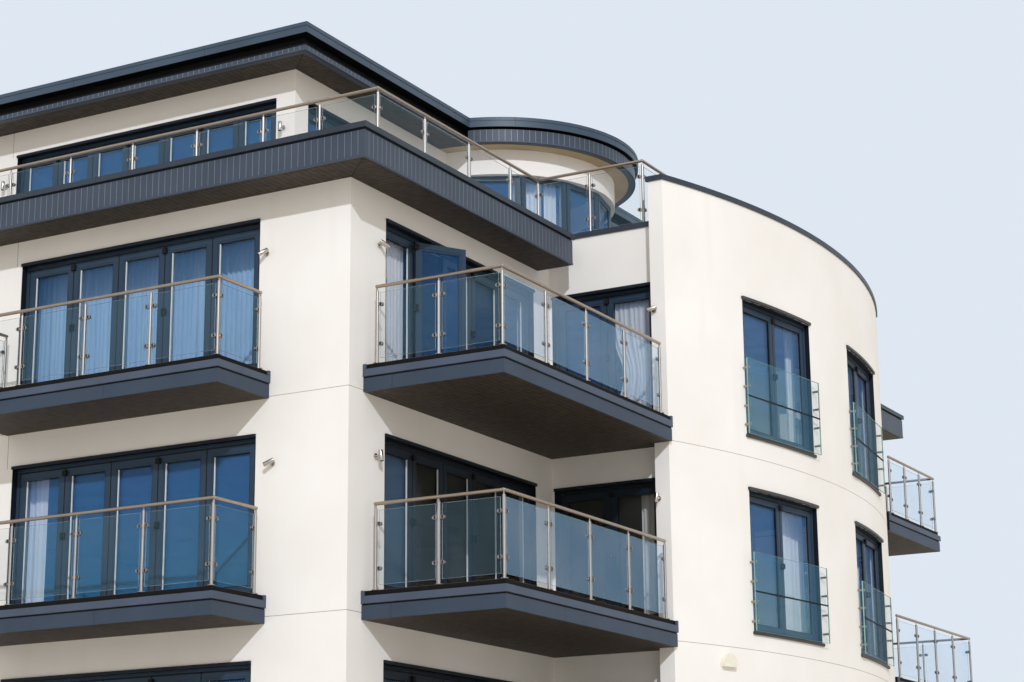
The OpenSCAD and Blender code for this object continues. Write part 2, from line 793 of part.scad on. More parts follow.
// The terrace rail's eight lengths, each from one corner to the next
module terrace_set(panes) {
    right = -terrace_rail_x;
    left = terrace_rail_x - block_w;
    rear = block_d - terrace_rail_y;
    near = terrace_near;
    far = terrace_far;
    wide = terrace_places(right - left, 2, 2, corner_bay);
    out = post_places(terrace_rail_out - right, terrace_pitch);
    terrace_length([left, terrace_rail_y], 0, wide, 0, panes);
    terrace_length([right, terrace_rail_y], 90, terrace_places(near - terrace_rail_y, 0, 1, recess_bay), 0,
        panes);
    terrace_length([right, near], 0, out, recess_parapet_h, panes);
    terrace_length([terrace_rail_out, near], 90, post_places(far - near, terrace_pitch), recess_parapet_h,
        panes);
    terrace_length([terrace_rail_out, far], 180, out, recess_parapet_h, panes);
    terrace_length([right, far], 90, terrace_places(rear - far, 1, 0, recess_bay), 0, panes);
    terrace_length([right, rear], 180, wide, 0, panes);
    terrace_length([left, rear], -90, terrace_places(rear - terrace_rail_y, 2, 2, corner_bay), 0, panes);
}

// What a post of the terrace rail stands on, above the terrace: the recess walls' copings, or nothing
function post_base(x, y) =
    x > 0 && (abs(y - terrace_near) < 1 || abs(y - terrace_far) < 1) ? recess_parapet_h : 0;

// One length: its first post stands at its start, and its handrail stops short of the next corner
module terrace_length(start, angle, places, low, panes) {
    translate([start[0], start[1], terrace_z]) rotate([0, 0, angle])
        if (panes) translate([0, 0, low]) rail_panes(places, terrace_rail_h - low);
        else {
            rail(places[len(places) - 1] - rail_dia - touch, [], terrace_rail_h);
            for (i = [0 : len(places) - 2])
                terrace_post(places[i], post_base(start[0] + places[i] * cos(angle),
                    start[1] + places[i] * sin(angle)));
        }
}

module terrace_post(x, base) {
    translate([x, 0, base])
        cylinder(d = post_dia, h = terrace_rail_h - rail_dia / 2 - base, $fn = round_fn);
}

module terrace_rails() {
    color("silver") from_corner() terrace_set(false);
}

module terrace_glass() {
    color("lightblue", 0.4) from_corner() terrace_set(true);
}

// Doors of the front wall, as frames or as glass
module at_front_doors() {
    for (k = [0 : storeys - 1], x = front_doors_x) in_front(x, reveal, floor_z(k)) children();
}

module front_doors() {
    color("slategray") from_corner() at_front_doors() door_frame(front_door_w, head_h, front_leaves);
}

module front_door_glass() {
    color("lightblue", 0.4) from_corner() at_front_doors() door_pane(front_door_w, head_h);
}

module side_doors() {
    color("slategray") from_corner() for (k = [0 : storeys - 1]) {
        open = k == storeys - 1 ? 1 : -1;
        in_side(-reveal, side_pier, floor_z(k)) door_frame(side_door_w, head_h, side_leaves, open);
        if (open > 0) in_side(-reveal, side_pier, floor_z(k))
            open_leaf(side_door_w, head_h, side_leaves, open, false);
        in_side(-reveal, rear_door_y, floor_z(k)) door_frame(rear_door_w, head_h, rear_leaves);
        in_front(recess_pier, recess_y + reveal, floor_z(k)) door_frame(recess_window_w, head_h, 2);
        in_rear(recess_pier + recess_window_w, recess_rear_y - reveal, floor_z(k))
            door_frame(recess_window_w, head_h, 2);
    }
}

module side_door_glass() {
    color("lightblue", 0.4) from_corner() for (k = [0 : storeys - 1]) {
        open = k == storeys - 1 ? 1 : -1;
        in_side(-reveal, side_pier, floor_z(k)) door_pane(side_door_w, head_h, side_leaves, open);
        if (open > 0) in_side(-reveal, side_pier, floor_z(k))
            open_leaf(side_door_w, head_h, side_leaves, open, true);
        in_side(-reveal, rear_door_y, floor_z(k)) door_pane(rear_door_w, head_h);
        in_front(recess_pier, recess_y + reveal, floor_z(k)) door_pane(recess_window_w, head_h);
        in_rear(recess_pier + recess_window_w, recess_rear_y - reveal, floor_z(k))
            door_pane(recess_window_w, head_h);
    }
}

// Distance from the curved wall's centre to the plane of a window's jambs
drum_jamb = sqrt(drum_r * drum_r - window_w * window_w / 4);

// Places of the curved wall's windows
module at_drum_windows(off, first) {
    for (k = [first : storeys - 1], a = [-drum_window_angle, drum_window_angle])
        in_drum(a, off, floor_z(k)) children();
}

module drum_windows() {
    color("slategray") from_corner() at_drum_windows(drum_jamb - reveal + stile_w / 5, 0)
        translate([-window_w / 2, 0, 0]) door_frame(window_w, head_h, 2);
}

module drum_window_glass() {
    color("lightblue", 0.4) from_corner() at_drum_windows(drum_jamb - reveal + stile_w / 5, 0)
        translate([-window_w / 2, 0, 0]) door_pane(window_w, head_h);
}

module at_back_windows() {
    for (k = [0 : storeys - 1]) {
        for (x = rear_windows_x) in_rear(x + window_w / 2, block_d - reveal, floor_z(k)) children();
        for (y = back_windows_y) in_back(reveal - block_w, y + window_w / 2, floor_z(k)) children();
    }
    for (y = [block_d * 3 / 8, block_d * 5 / 8])
        in_back(reveal - flat_side - flat_w, y + window_w / 2, terrace_z) children();
}

module back_windows() {
    color("slategray") from_corner() at_back_windows() door_frame(window_w, head_h, 2);
}

module back_window_glass() {
    color("lightblue", 0.4) from_corner() at_back_windows() door_pane(window_w, head_h);
}

module flat_doors() {
    color("slategray") from_corner() {
        in_front(flat_door_x, flat_back + reveal, terrace_z) door_frame(flat_door_w, head_h, flat_leaves);
        in_rear(flat_door_x + flat_door_w, block_d - flat_back - reveal, terrace_z)
            door_frame(flat_door_w, head_h, flat_leaves);
        for (y = [flat_side_y, flat_rear_y])
            in_side(-flat_side - reveal, y, terrace_z) door_frame(flat_side_door_w, head_h, flat_side_leaves);
        at_bay_leaves() bay_leaf();
    }
}

module flat_door_glass() {
    color("lightblue", 0.4) from_corner() {
        in_front(flat_door_x, flat_back + reveal, terrace_z) door_pane(flat_door_w, head_h);
        in_rear(flat_door_x + flat_door_w, block_d - flat_back - reveal, terrace_z)
            door_pane(flat_door_w, head_h);
        for (y = [flat_side_y, flat_rear_y])
            in_side(-flat_side - reveal, y, terrace_z) door_pane(flat_side_door_w, head_h);
        at_bay_leaves() bay_pane();
    }
}

// The bay's glass is flat leaves on a ring inside its wall's face
bay_step = 2 * bay_glass_angle / bay_leaves;
bay_ring = bay_r - bay_t / 3;
bay_leaf_w = 2 * bay_ring * sin(bay_step / 2) - 1;

module at_bay_leaves() {
    for (i = [0 : bay_leaves - 1])
        translate([bay_x, bay_y, terrace_z]) rotate([0, 0, (i + 0.5) * bay_step - bay_glass_angle])
            translate([bay_ring * cos(bay_step / 2), -bay_leaf_w / 2, 0]) rotate([0, 0, 90]) children();
}

// Frame of one leaf of the bay, mitred to the next
module bay_leaf() {
    mitre = frame_t * tan(bay_step / 2);
    difference() {
        translate([0, 0, touch]) linear_extrude(head_h - 2 * touch)
            polygon([[touch, 0], [bay_leaf_w - touch, 0], [bay_leaf_w - mitre - touch, frame_t],
                [mitre + touch, frame_t]]);
        translate([stile_w, -past, stile_w])
            cube([bay_leaf_w - 2 * stile_w, frame_t + 2 * past, head_h - 2 * stile_w]);
    }
}

module bay_pane() {
    edge = stile_w - pane_lap;
    translate([edge, frame_t, edge]) cube([bay_leaf_w - 2 * edge, glass_t, head_h - 2 * edge]);
}

// Guard of a window over the ground storey: two panes of glass, one over the other
module guard_glass() {
    color("lightblue", 0.4) from_corner() at_drum_windows(drum_r + guard_off, 1) guard_pair();
}

module guard_pair() {
    for (i = [0, 1]) translate([-guard_w / 2, -guard_t, i * (guard_h + guard_gap)])
        cube([guard_w, guard_t, guard_h]);
}

// Pins that hold a guard off the wall, and the discs on its outer face
module guard_pins() {
    color("silver") from_corner() at_drum_windows(drum_r + guard_off, 1) pin_set();
}

module pin_set() {
    edge = guard_w / 2 - pin_dia;
    near = edge - pin_dia / 2;
    reach = guard_off + drum_r - sqrt(drum_r * drum_r - near * near) - touch;
    for (x = [-edge, edge], i = [0, 1], z = [guard_h / 4, guard_h * 3 / 4])
        translate([x, 0, i * (guard_h + guard_gap) + z]) {
            rotate([-90, 0, 0]) cylinder(d = pin_dia, h = reach, $fn = round_fn);
            translate([0, -guard_t, 0]) rotate([90, 0, 0])
                cylinder(d = pin_dia * 1.3, h = pin_dia / 4, $fn = round_fn);
        }
}

// Dark trims over and under the curved wall's windows, on the wall's face
trim_angle = 2 * asin((window_w / 2 + trim_h / 2) / drum_r);

module drum_trims() {
    color("darkslategray") from_corner() for (k = [0 : storeys - 1], z = [head_h, -trim_h], a = [-1, 1])
        translate([drum_x, drum_y, floor_z(k) + z]) rotate([0, 0, a * drum_window_angle - trim_angle / 2])
            rotate_extrude(angle = trim_angle, $fn = drum_fn)
                translate([drum_r + touch, 0]) square([trim_out, trim_h]);
}

// Spotlight on a wall: a round plate, an arm and a short barrel that points down
module wall_light() {
    rotate([90, 0, 0]) cylinder(d = light_dia, h = light_plate, $fn = round_fn);
    rotate([90, 0, 0]) cylinder(d = light_dia / 3, h = light_dia * 1.3, $fn = round_fn);
    translate([0, -light_dia * 1.3, -light_dia * 0.9])
        cylinder(d = light_dia * 0.9, h = light_dia * 1.8, $fn = round_fn);
}

module wall_lights() {
    color("silver") from_corner() for (k = [0 : storeys - 1]) {
        for (x = [-light_in, light_in - block_w])
            translate([x, -touch, floor_z(k) + light_h]) wall_light();
        translate([touch, side_pier - light_side, floor_z(k) + light_h]) rotate([0, 0, 90]) wall_light();
        translate([drum_out - drum_t / 2, drum_start - touch, floor_z(k) + light_h]) wall_light();
    }
}

// Half-round alarm box on the curved wall
module alarm_box() {
    color("ivory") from_corner() in_drum(alarm_angle, drum_r, floor_z(1) + alarm_h)
        translate([0, -touch, 0]) rotate([90, 0, 0]) linear_extrude(alarm_t) intersection() {
            circle(d = alarm_w, $fn = round_fn);
            translate([-alarm_w, -alarm_w / 6]) square([2 * alarm_w, alarm_w]);
        }
}

floor_slabs();
terrace_slab();
front_wall();
side_walls();
recess_walls();
drum_wall_left();
drum_wall_right();
rear_wall();
back_wall();
terrace_band();
terrace_soffit();
copings();
flat_end_walls();
flat_side_walls();
flat_back_wall();
bay_wall();
roof_slab();
roof_cap();
roof_cladding();
roof_soffit();
bay_soffit();
front_balconies();
corner_balconies();
balcony_soffits();
front_rails();
corner_rails();
terrace_rails();
front_rail_glass();
corner_rail_glass();
terrace_glass();
front_doors();
front_door_glass();
side_doors();
side_door_glass();
drum_windows();
drum_window_glass();
back_windows();
back_window_glass();
flat_doors();
flat_door_glass();
guard_glass();
guard_pins();
drum_trims();
wall_lights();
alarm_box();
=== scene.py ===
# %% [markdown]
# # An apartment block with a curved corner
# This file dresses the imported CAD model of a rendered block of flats, in one frame with it.
# The walls, floors and roof come from the CAD as they are and only get their finishes.
# Frames, rails, boards, balcony edges and curtains are built here, because their folds and edges are
# too fine for the CAD solids.

# %% Load the model
import math
import random

import bmesh
import bpy
from mathutils import Matrix, Vector


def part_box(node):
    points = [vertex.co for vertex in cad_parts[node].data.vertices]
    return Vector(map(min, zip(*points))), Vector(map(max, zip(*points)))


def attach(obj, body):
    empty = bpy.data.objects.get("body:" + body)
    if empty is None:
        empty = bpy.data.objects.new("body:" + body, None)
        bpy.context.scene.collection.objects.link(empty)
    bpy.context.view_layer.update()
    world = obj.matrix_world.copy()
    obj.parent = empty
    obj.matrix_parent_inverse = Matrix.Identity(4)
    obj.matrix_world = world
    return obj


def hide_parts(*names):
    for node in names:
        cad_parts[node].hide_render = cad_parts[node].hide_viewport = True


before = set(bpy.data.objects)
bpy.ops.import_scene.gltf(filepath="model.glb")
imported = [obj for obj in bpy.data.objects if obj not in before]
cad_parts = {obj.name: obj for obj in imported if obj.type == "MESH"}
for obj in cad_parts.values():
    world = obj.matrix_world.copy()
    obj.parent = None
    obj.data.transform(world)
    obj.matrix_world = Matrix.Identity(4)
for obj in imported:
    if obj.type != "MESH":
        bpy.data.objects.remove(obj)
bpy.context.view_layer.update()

# %% [markdown]
# Everything on the block is set out from its front right corner at ground level, as a surveyor would do it.
# The corner's place and the block's width and depth could be typed, but then they would have to follow every
# change of the CAD by hand, so they come from the walls' own boxes. Lengths are in metres.

# %% Setting out
wall_low, wall_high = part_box("front_wall")
CORNER = Vector((wall_high.x, wall_low.y, 0))
WIDTH, DEPTH = wall_high.x - wall_low.x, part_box("rear_wall")[1].y - wall_low.y
GROUND_FLOOR, STOREY, TERRACE = 0.15, 3.0, 12.14
STOREYS = [GROUND_FLOOR + STOREY * k for k in range(4)]
SECOND, THIRD = STOREYS[2:]
# The head of a door over its floor, and how far frames stand back in their reveals.
HEAD, REVEAL = 2.14, 0.095
FRONT_DOOR, FRONT_DOORS_X = 4.23, (-5.70, 1.47 - WIDTH)
# The curved wall: radius, middle and half length along the side, and how far its ends stand out.
DRUM_R, DRUM_Y, DRUM_HALF, DRUM_OUT = 13.65, 9.95, 4.63, 2.08
DRUM_X = DRUM_OUT - math.sqrt(DRUM_R**2 - DRUM_HALF**2)
DRUM_START, DRUM_END = DRUM_Y - DRUM_HALF, DRUM_Y + DRUM_HALF
DRUM_WINDOWS = (-7.9, 7.9)
# The walls of the two recesses stand a little behind the curved wall's ends.
RECESS_BACK = 0.25
RECESS, REAR_RECESS = DRUM_START + RECESS_BACK, DRUM_END - RECESS_BACK
# The top flat: the pier beside its doors is the wall between them and its corner.
FLAT_DOOR, FLAT_SIDE, FLAT_FRONT, FLAT_PIER = 5.21, -2.87, 2.76, 0.35
FLAT_BACK, FLAT_REAR = -WIDTH - FLAT_SIDE, DEPTH - FLAT_FRONT
FLAT_DOOR_X = FLAT_SIDE - FLAT_PIER - FLAT_DOOR
print(f"block {WIDTH:.2f} m wide and {DEPTH:.2f} m deep")


def moved(x, y, z=0.0):
    """A shift."""
    return Matrix.Translation((x, y, z))


def turned(angle):
    """A turn about an upright axis, in degrees."""
    return Matrix.Rotation(math.radians(angle), 4, "Z")


def at(x, y, z, turn=0):
    """A place counted from the corner. Local x runs along a wall and local y runs into it."""
    return Matrix.Translation(CORNER + Vector((x, y, z))) @ turned(turn)


def on_drum(angle, radius, z):
    """A place on the curved wall, facing its middle."""
    return at(DRUM_X, DRUM_Y, z, angle) @ moved(radius, 0) @ turned(90)


# %% [markdown]
# The camera stands in the street, a little over eye height, and looks up at the corner. It could be aimed by
# eye, but its place, its three turns and its lens were solved from the straight edges of the real block, so
# that the uprights lean in as they do there. The block fills the frame, so the lens is a long one.

# %% Camera
EYE = Vector((15.415, -23.231, 2.147))
YAW, PITCH, ROLL = 29.186, 14.576, -0.517
# The picture's width and the lens's focal length in pixels, and the sensor in millimetres.
PICTURE, FOCAL, SENSOR = 1024, 2193.7, 36
scene = bpy.context.scene
camera = bpy.data.objects.new("camera", bpy.data.cameras.new("camera"))
scene.collection.objects.link(camera)
tilt = Matrix.Rotation(math.radians(90) + math.radians(PITCH), 4, "X")
camera.matrix_world = Matrix.Translation(CORNER + EYE) @ turned(YAW) @ tilt @ turned(ROLL)
camera.data.sensor_width = SENSOR
camera.data.lens = FOCAL / PICTURE * SENSOR
camera.data.clip_end = 400
scene.camera = camera
print("camera at", [round(v, 2) for v in camera.matrix_world.translation])

# %% [markdown]
# One lamp stands where the sun does, a little to the right of the front wall and low, with the sharp shadows
# of a clear day. The world could be a picture of a sky, but an even fill keeps the colours as they are
# written, and a pale backdrop shows only to the camera, to metal and to glass.

# %% Light and backdrop
SUN_FROM = Vector((0.517, -0.731, 0.445))
scene.view_settings.view_transform = "Standard"


def colour(code):
    """An sRGB hex value as linear light."""
    parts = [int(code[i : i + 2], 16) / 255 for i in (1, 3, 5)]
    return tuple(c / 12.92 if c <= 0.04045 else ((c + 0.055) / 1.055) ** 2.4 for c in parts) + (1,)


def node(tree, kind, sockets=None, links=None, **settings):
    """Adds one node, sets its properties and sockets, and links its inputs."""
    made = tree.nodes.new(kind)
    for name, value in settings.items():
        setattr(made, name, value)
    for name, value in (sockets or {}).items():
        made.inputs[name].default_value = value
    for name, source in (links or {}).items():
        tree.links.new(source, made.inputs[name])
    return made


sun = bpy.data.objects.new("sun", bpy.data.lights.new("sun", "SUN"))
sun.data.energy = 1.79
sun.data.angle = math.radians(0.8)
sun.data.color = colour("#f1f6ff")[:3]
sun.rotation_euler = SUN_FROM.to_track_quat("Z", "Y").to_euler()
scene.collection.objects.link(sun)

world = bpy.data.worlds.new("studio")
world.use_nodes = True
scene.world = world
tree = world.node_tree
tree.nodes.clear()
rays = node(tree, "ShaderNodeLightPath").outputs
seen = rays["Is Camera Ray"]
for kind in ("Is Glossy Ray", "Is Transmission Ray"):
    seen = node(tree, "ShaderNodeMath", links={0: seen, 1: rays[kind]}, operation="MAXIMUM").outputs[0]
fill = node(tree, "ShaderNodeBackground", {"Color": colour("#f1eeea"), "Strength": 0.85})
backdrop = node(tree, "ShaderNodeBackground", {"Color": colour("#dfe8f2"), "Strength": 1.0})
mixed = node(tree, "ShaderNodeMixShader", links={0: seen, 1: fill.outputs[0], 2: backdrop.outputs[0]})
node(tree, "ShaderNodeOutputWorld", links={"Surface": mixed.outputs[0]})
print(f"sun of {sun.data.energy} W/m2, {math.degrees(math.asin(SUN_FROM.normalized().z)):.0f} degrees up")

# %% [markdown]
# The finishes follow the real ones: thin silicone render on the walls, powder-coated aluminium for frames,
# boards and balcony edges, brushed stainless steel for rails, and toughened glass. Pictures could be laid on
# them, but a pattern worked out from the model's own coordinates keeps its real size wherever it falls and
# stays sharp at any distance. Each finish starts from these few helpers.

# %% Helpers for finishes
def finish(name, base, roughness, metallic=0.0, **sockets):
    """A material with its constant numbers on the shader's own sockets."""
    made = bpy.data.materials.new(name)
    made.use_nodes = True
    shader = made.node_tree.nodes["Principled BSDF"]
    shader.inputs["Base Color"].default_value = colour(base)
    shader.inputs["Roughness"].default_value = roughness
    shader.inputs["Metallic"].default_value = metallic
    for socket, value in sockets.items():
        shader.inputs[socket.replace("_", " ")].default_value = value
    return made, made.node_tree, shader


def spots(tree, size, detail=4, stretch=(1, 1, 1)):
    """Noise whose blotches are about size metres across, read from Object coordinates."""
    place = node(tree, "ShaderNodeTexCoord").outputs["Object"]
    mapped = node(tree, "ShaderNodeMapping", {"Scale": [s / size for s in stretch]}, {"Vector": place})
    noise = node(tree, "ShaderNodeTexNoise", {"Scale": 1, "Detail": detail}, {"Vector": mapped.outputs[0]})
    return noise.outputs["Fac"]


def between(tree, value, low, high, ends=(0.3, 0.7)):
    """A colour that runs from low to high as value goes from one end to the other."""
    ramp = node(tree, "ShaderNodeValToRGB", links={"Fac": value})
    for stop, position, tone in zip(ramp.color_ramp.elements, ends, (low, high)):
        stop.position, stop.color = position, colour(tone)
    return ramp.outputs["Color"]


def mottled(name, base, tones, size, roughness, detail=4, **sockets):
    """A finish whose colour drifts between two tones, in patches of about size metres."""
    made, tree, shader = finish(name, base, roughness, **sockets)
    tree.links.new(between(tree, spots(tree, size, detail), *tones), shader.inputs["Base Color"])
    return made


def rough(tree, shader, height, depth, strength=1.0):
    """Bump of a given real depth in metres."""
    bump = node(tree, "ShaderNodeBump", {"Distance": depth, "Strength": strength}, {"Height": height})
    tree.links.new(bump.outputs[0], shader.inputs["Normal"])


def axis(tree, name):
    """One axis of the Object coordinates."""
    place = node(tree, "ShaderNodeTexCoord").outputs["Object"]
    return node(tree, "ShaderNodeSeparateXYZ", links={0: place}).outputs[name]


def count(tree, operation, first, second=0):
    """One sum on two numbers or sockets."""
    sockets = {i: v for i, v in enumerate((first, second)) if isinstance(v, (int, float))}
    links = {i: v for i, v in enumerate((first, second)) if not isinstance(v, (int, float))}
    return node(tree, "ShaderNodeMath", sockets, links, operation=operation).outputs[0]


def stripe(tree, along, pitch, gap, shift=0.0):
    """1 in a thin line at every pitch along an axis, and 0 between the lines."""
    past_line = count(tree, "FLOORED_MODULO", count(tree, "ADD", along, shift), pitch)
    return count(tree, "LESS_THAN", past_line, gap)


def past_level(tree, level):
    """The height over a level of the lowest storey, counted afresh in every storey."""
    return count(tree, "FLOORED_MODULO", count(tree, "SUBTRACT", axis(tree, "Z"), level), STOREY)


def zone(tree, **limits):
    """1 where X, Y and Z lie between the limits that are given, and 0 elsewhere. None leaves an end open."""
    inside = 1
    for name, ends in limits.items():
        place = axis(tree, name)
        for operation, end in zip(("GREATER_THAN", "LESS_THAN"), ends):
            if end is not None:
                inside = count(tree, "MULTIPLY", count(tree, operation, place, end), inside)
    return inside


def painted(tree, where, plain, other):
    """A plain colour, with another one where a mask is 1."""
    mix = node(tree, "ShaderNodeMix", {7: colour(other)}, {0: where, 6: plain}, data_type="RGBA")
    return mix.outputs[2]


print("helpers for finishes are ready")

# %% [markdown]
# The render is a thin silicone coat: a fine even grain, faint clouds from drying, level beads at every
# storey, and a short upright bead over the left side of each wide door. The beads could be cut into the
# walls, but they are 9 mm wide and flush, so a line in the colour shows all that the eye sees of them.

# %% Render on the walls
BEAD, BEAD_PITCH, FIRST_BEAD, LAST_BEAD = 0.009, 2.93, 5.87, 9.0
BEAD_BESIDE_DOOR, BEAD_LENGTH = 0.1, 0.86
render, tree, shader = finish("silicone_render", "#f5f2ed", 0.9)
clouds = between(tree, spots(tree, 1.4), "#f1ede7", "#f8f5f1")
streaks = between(tree, spots(tree, 0.5, 3, (1, 1, 0.08)), "#ece7df", "#f8f5f1", (0.2, 0.42))
weathered = node(tree, "ShaderNodeMix", {0: 0.5}, {6: clouds, 7: streaks},
                 data_type="RGBA", blend_type="DARKEN")
level = stripe(tree, axis(tree, "Z"), BEAD_PITCH, BEAD, shift=-FIRST_BEAD)
level = count(tree, "MULTIPLY", level, zone(tree, Z=(None, LAST_BEAD)))
below, above, upright = (None, TERRACE), (TERRACE, None), 0
for x, heights in ((FRONT_DOORS_X[0], below), (FRONT_DOORS_X[1], below), (FLAT_DOOR_X, above)):
    middle = CORNER.x + x - BEAD_BESIDE_DOOR
    bead = zone(tree, X=(middle - BEAD / 2, middle + BEAD / 2), Z=heights)
    upright = count(tree, "MAXIMUM", bead, upright)
over_head = count(tree, "LESS_THAN", past_level(tree, GROUND_FLOOR + HEAD), BEAD_LENGTH)
beads = count(tree, "MAXIMUM", level, count(tree, "MULTIPLY", upright, over_head))
# The walls inside the rooms are painted darker than the street front, as painted shade for rooms that are
# dim behind the glass. The block's middle is the origin.
room_shade = 0
for in_x, in_y, heights in ((0.29, 0.29, (None, 11.9)), (0.24 - FLAT_SIDE, 0.24 + FLAT_FRONT, above)):
    x, y = WIDTH / 2 - in_x, DEPTH / 2 - in_y
    room_shade = count(tree, "MAXIMUM", zone(tree, X=(-x, x), Y=(-y, y), Z=heights), room_shade)
outside = painted(tree, beads, weathered.outputs[2], "#aca294")
tree.links.new(painted(tree, room_shade, outside, "#7f7b75"), shader.inputs["Base Color"])
# Grains of about 1.5 mm, drawn 6 mm across so that they show from the street.
rough(tree, shader, spots(tree, 0.006, 2), 0.0015, 0.5)
print(f"{render.name}: {len(tree.nodes)} nodes")

# %% [markdown]
# Powder-coated aluminium has a satin skin with a fine orange peel. The colours differ a little from part to
# part, because sheets from different batches weather differently. One finish for all would be simpler and
# would look like plastic, so each kind of part has its own two tones. Folded sheets meet in seams.

# %% Powder-coated aluminium
CAP_FOOT, SEAM = 14.983, 0.006
# Behind the lower corner balconies: from inside the side wall out to the curved wall, below the third storey.
DEEP_X, DEEP_Z = (CORNER.x - 0.3, CORNER.x + 1.9), (None, 9)


def powder_coat(name, low, high, roughness=0.42, specular=0.35, seams=0.0, painted_shade_below=None):
    """A satin coat between two tones, with seams at a pitch, and painted shade in black on its underside
    where asked for.
    """
    made, tree, shader = finish(name, low, roughness, Specular_IOR_Level=specular)
    skin = between(tree, spots(tree, 0.7), low, high)
    if seams:
        across = stripe(tree, axis(tree, "X"), seams, SEAM, 0.37)
        along = stripe(tree, axis(tree, "Y"), seams, SEAM, 0.61)
        skin = painted(tree, count(tree, "MAXIMUM", across, along), skin, "#0c0e11")
    # Painted shade: black below a level.
    if painted_shade_below:
        skin = painted(tree, zone(tree, Z=(None, painted_shade_below)), skin, "#08090a")
    tree.links.new(skin, shader.inputs["Base Color"])
    # The peel is under 1 mm across, drawn at 4 mm.
    rough(tree, shader, spots(tree, 0.004, 1), 0.0002, 0.4)
    return made


frames_coat = powder_coat("powder_coated_frames", "#2a3b4d", "#304458", 0.4, 0.22)
# The frames behind the lower corner balconies stand in deep shade, which a darker coat stands for.
tree = frames_coat.node_tree
base = tree.nodes["Principled BSDF"].inputs["Base Color"]
shade = zone(tree, X=DEEP_X, Z=DEEP_Z)
tree.links.new(painted(tree, shade, base.links[0].from_socket, "#1b2530"), base)
board_coat = powder_coat("powder_coated_boards", "#38424f", "#404a59", 0.45)
# A paler coat for the bars in the grooves, a painted highlight of the sun on the boards' edges.
joint_highlight_coat = powder_coat("board_joint_highlights", "#6f7987", "#7d8793", 0.4, 0.5)
fascia_coat = powder_coat("powder_coated_fascia", "#323e4d", "#394657", 0.5, 0.3, seams=3.6)
flashing_coat = powder_coat("powder_coated_flashing", "#434d5d", "#4c576a", 0.5, 0.3)
coping_coat = powder_coat("powder_coated_coping", "#2a323c", "#323a45", seams=2.9)
# The cap's underside is painted black, as the shade under its edge.
cap_coat = powder_coat("powder_coated_roof_cap", "#3a4959", "#425263", seams=2.6, painted_shade_below=CAP_FOOT)
trim_coat = powder_coat("powder_coated_trims", "#3f3c3b", "#494644", 0.5, 0.3)
# Near black, partly the heads' own coat and partly painted shade in the reveals it lines.
head_coat_and_reveal_shade = powder_coat("powder_coated_heads_and_reveal_shade", "#11171e", "#182029", 0.5, 0.25)
print(sum("powder_coated" in m.name for m in bpy.data.materials), "powder coats")

# %% [markdown]
# Stainless steel is brushed along a handrail and round a post, and its hairlines blur a reflection one way.
# Its tones are painted reflection: the handrails warmer than the posts, and the lights the palest. A metal
# could be one flat tone and leave the rest to its reflections, but the studio is plain, so the hairlines
# carry the change.

# %% Stainless steel
def steel(name, low, high, roughness):
    """Brushed steel whose hairlines run between two tones."""
    made, tree, shader = finish(name, low, roughness, 1.0)
    # Hairlines are finer than 0.1 mm, drawn 3 mm wide and 100 mm long.
    hairs = spots(tree, 0.02, 3, (0.2, 0.2, 6))
    tree.links.new(between(tree, hairs, low, high), shader.inputs["Base Color"])
    rough(tree, shader, hairs, 0.0002, 0.3)
    return made


# Each steel's two tones are a painted reflection, which the plain studio can't give.
rail_steel = steel("brushed_handrail_steel", "#9c8b7b", "#b8a796", 0.3)
post_steel = steel("brushed_post_steel", "#a39a92", "#b9b0a8", 0.32)
cast_steel = steel("cast_clamp_steel", "#938c86", "#aea7a0", 0.3)
spot_steel = steel("spun_lamp_steel", "#b5aa9f", "#cfc6bd", 0.25)
print("steels:", ", ".join(made.name for made in (rail_steel, post_steel, cast_steel, spot_steel)))

# %% [markdown]
# Toughened glass is nearly clear, and its cut edges are where its green shows. Real panes also mirror the
# blue sky, which a plain studio doesn't have. Light could be bent through a solid of glass, but that leaves
# thin panes dark, so each pane is a see-through skin with a faint blue, a painted reflection of the sky.

# %% Glass of rails and guards
rail_glass = mottled("toughened_glass", "#7099ae", ("#658da4", "#7ba5b8"), 0.9, 0.02, 1,
                     Alpha=0.055, Specular_IOR_Level=0.35)
# The long sides of the corner rails face the open sky, so their panes get more of the painted sky reflection.
side_glass = mottled("sky_lit_rail_glass", "#a6d4fa", ("#8ec4f2", "#b6dcff"), 0.9, 0.02, 1,
                     Alpha=0.145, Specular_IOR_Level=0.35)
# The thick guards are tinted, and their blue also holds painted sky reflection.
guard_glass = mottled("tinted_guard_glass", "#74bce0", ("#68b4dc", "#80c4e4"), 0.9, 0.02, 1,
                      Alpha=0.07, Specular_IOR_Level=0.35)
# The edges of thin panes look pale and clear, and those of the thick guards green.
clear_edge = mottled("clear_glass_edge", "#9fb4b8", ("#97adb2", "#abbec1"), 0.3, 0.15, 1, Alpha=0.45)
glass_edge = mottled("toughened_glass_edge", "#7ba59e", ("#6f9a93", "#8ab3ab"), 0.3, 0.15, 1)
print("rail and guard glass are made")

# %% [markdown]
# A window pane is coated and mirrors more of the sky than a rail's pane. A plain studio has no sky, so that
# reflection is painted into the glass's colour: a deeper blue at the head of each storey and paler towards
# the floor, and changed with the place on the block to what a pane can see from there. A mirror with a
# painted sky would do the same from one side only, so the glass's own colour carries the painted reflection.

# %% Window glass
window_glass, tree, shader = finish("window_glass_painted_sky", "#69b3ff", 0.03,
                                    Alpha=0.17, Specular_IOR_Level=0.3)
# The glass's blue is a painted sky reflection: deeper at each storey's head and paler towards its floor.
waver = count(tree, "MULTIPLY", count(tree, "SUBTRACT", spots(tree, 1.1, 1), 0.5), 0.7)
up = count(tree, "ADD", count(tree, "DIVIDE", past_level(tree, GROUND_FLOOR), HEAD), waver)
painted_sky_reflection = between(tree, up, "#4db0f2", "#5b9ff0", (0.15, 0.9))
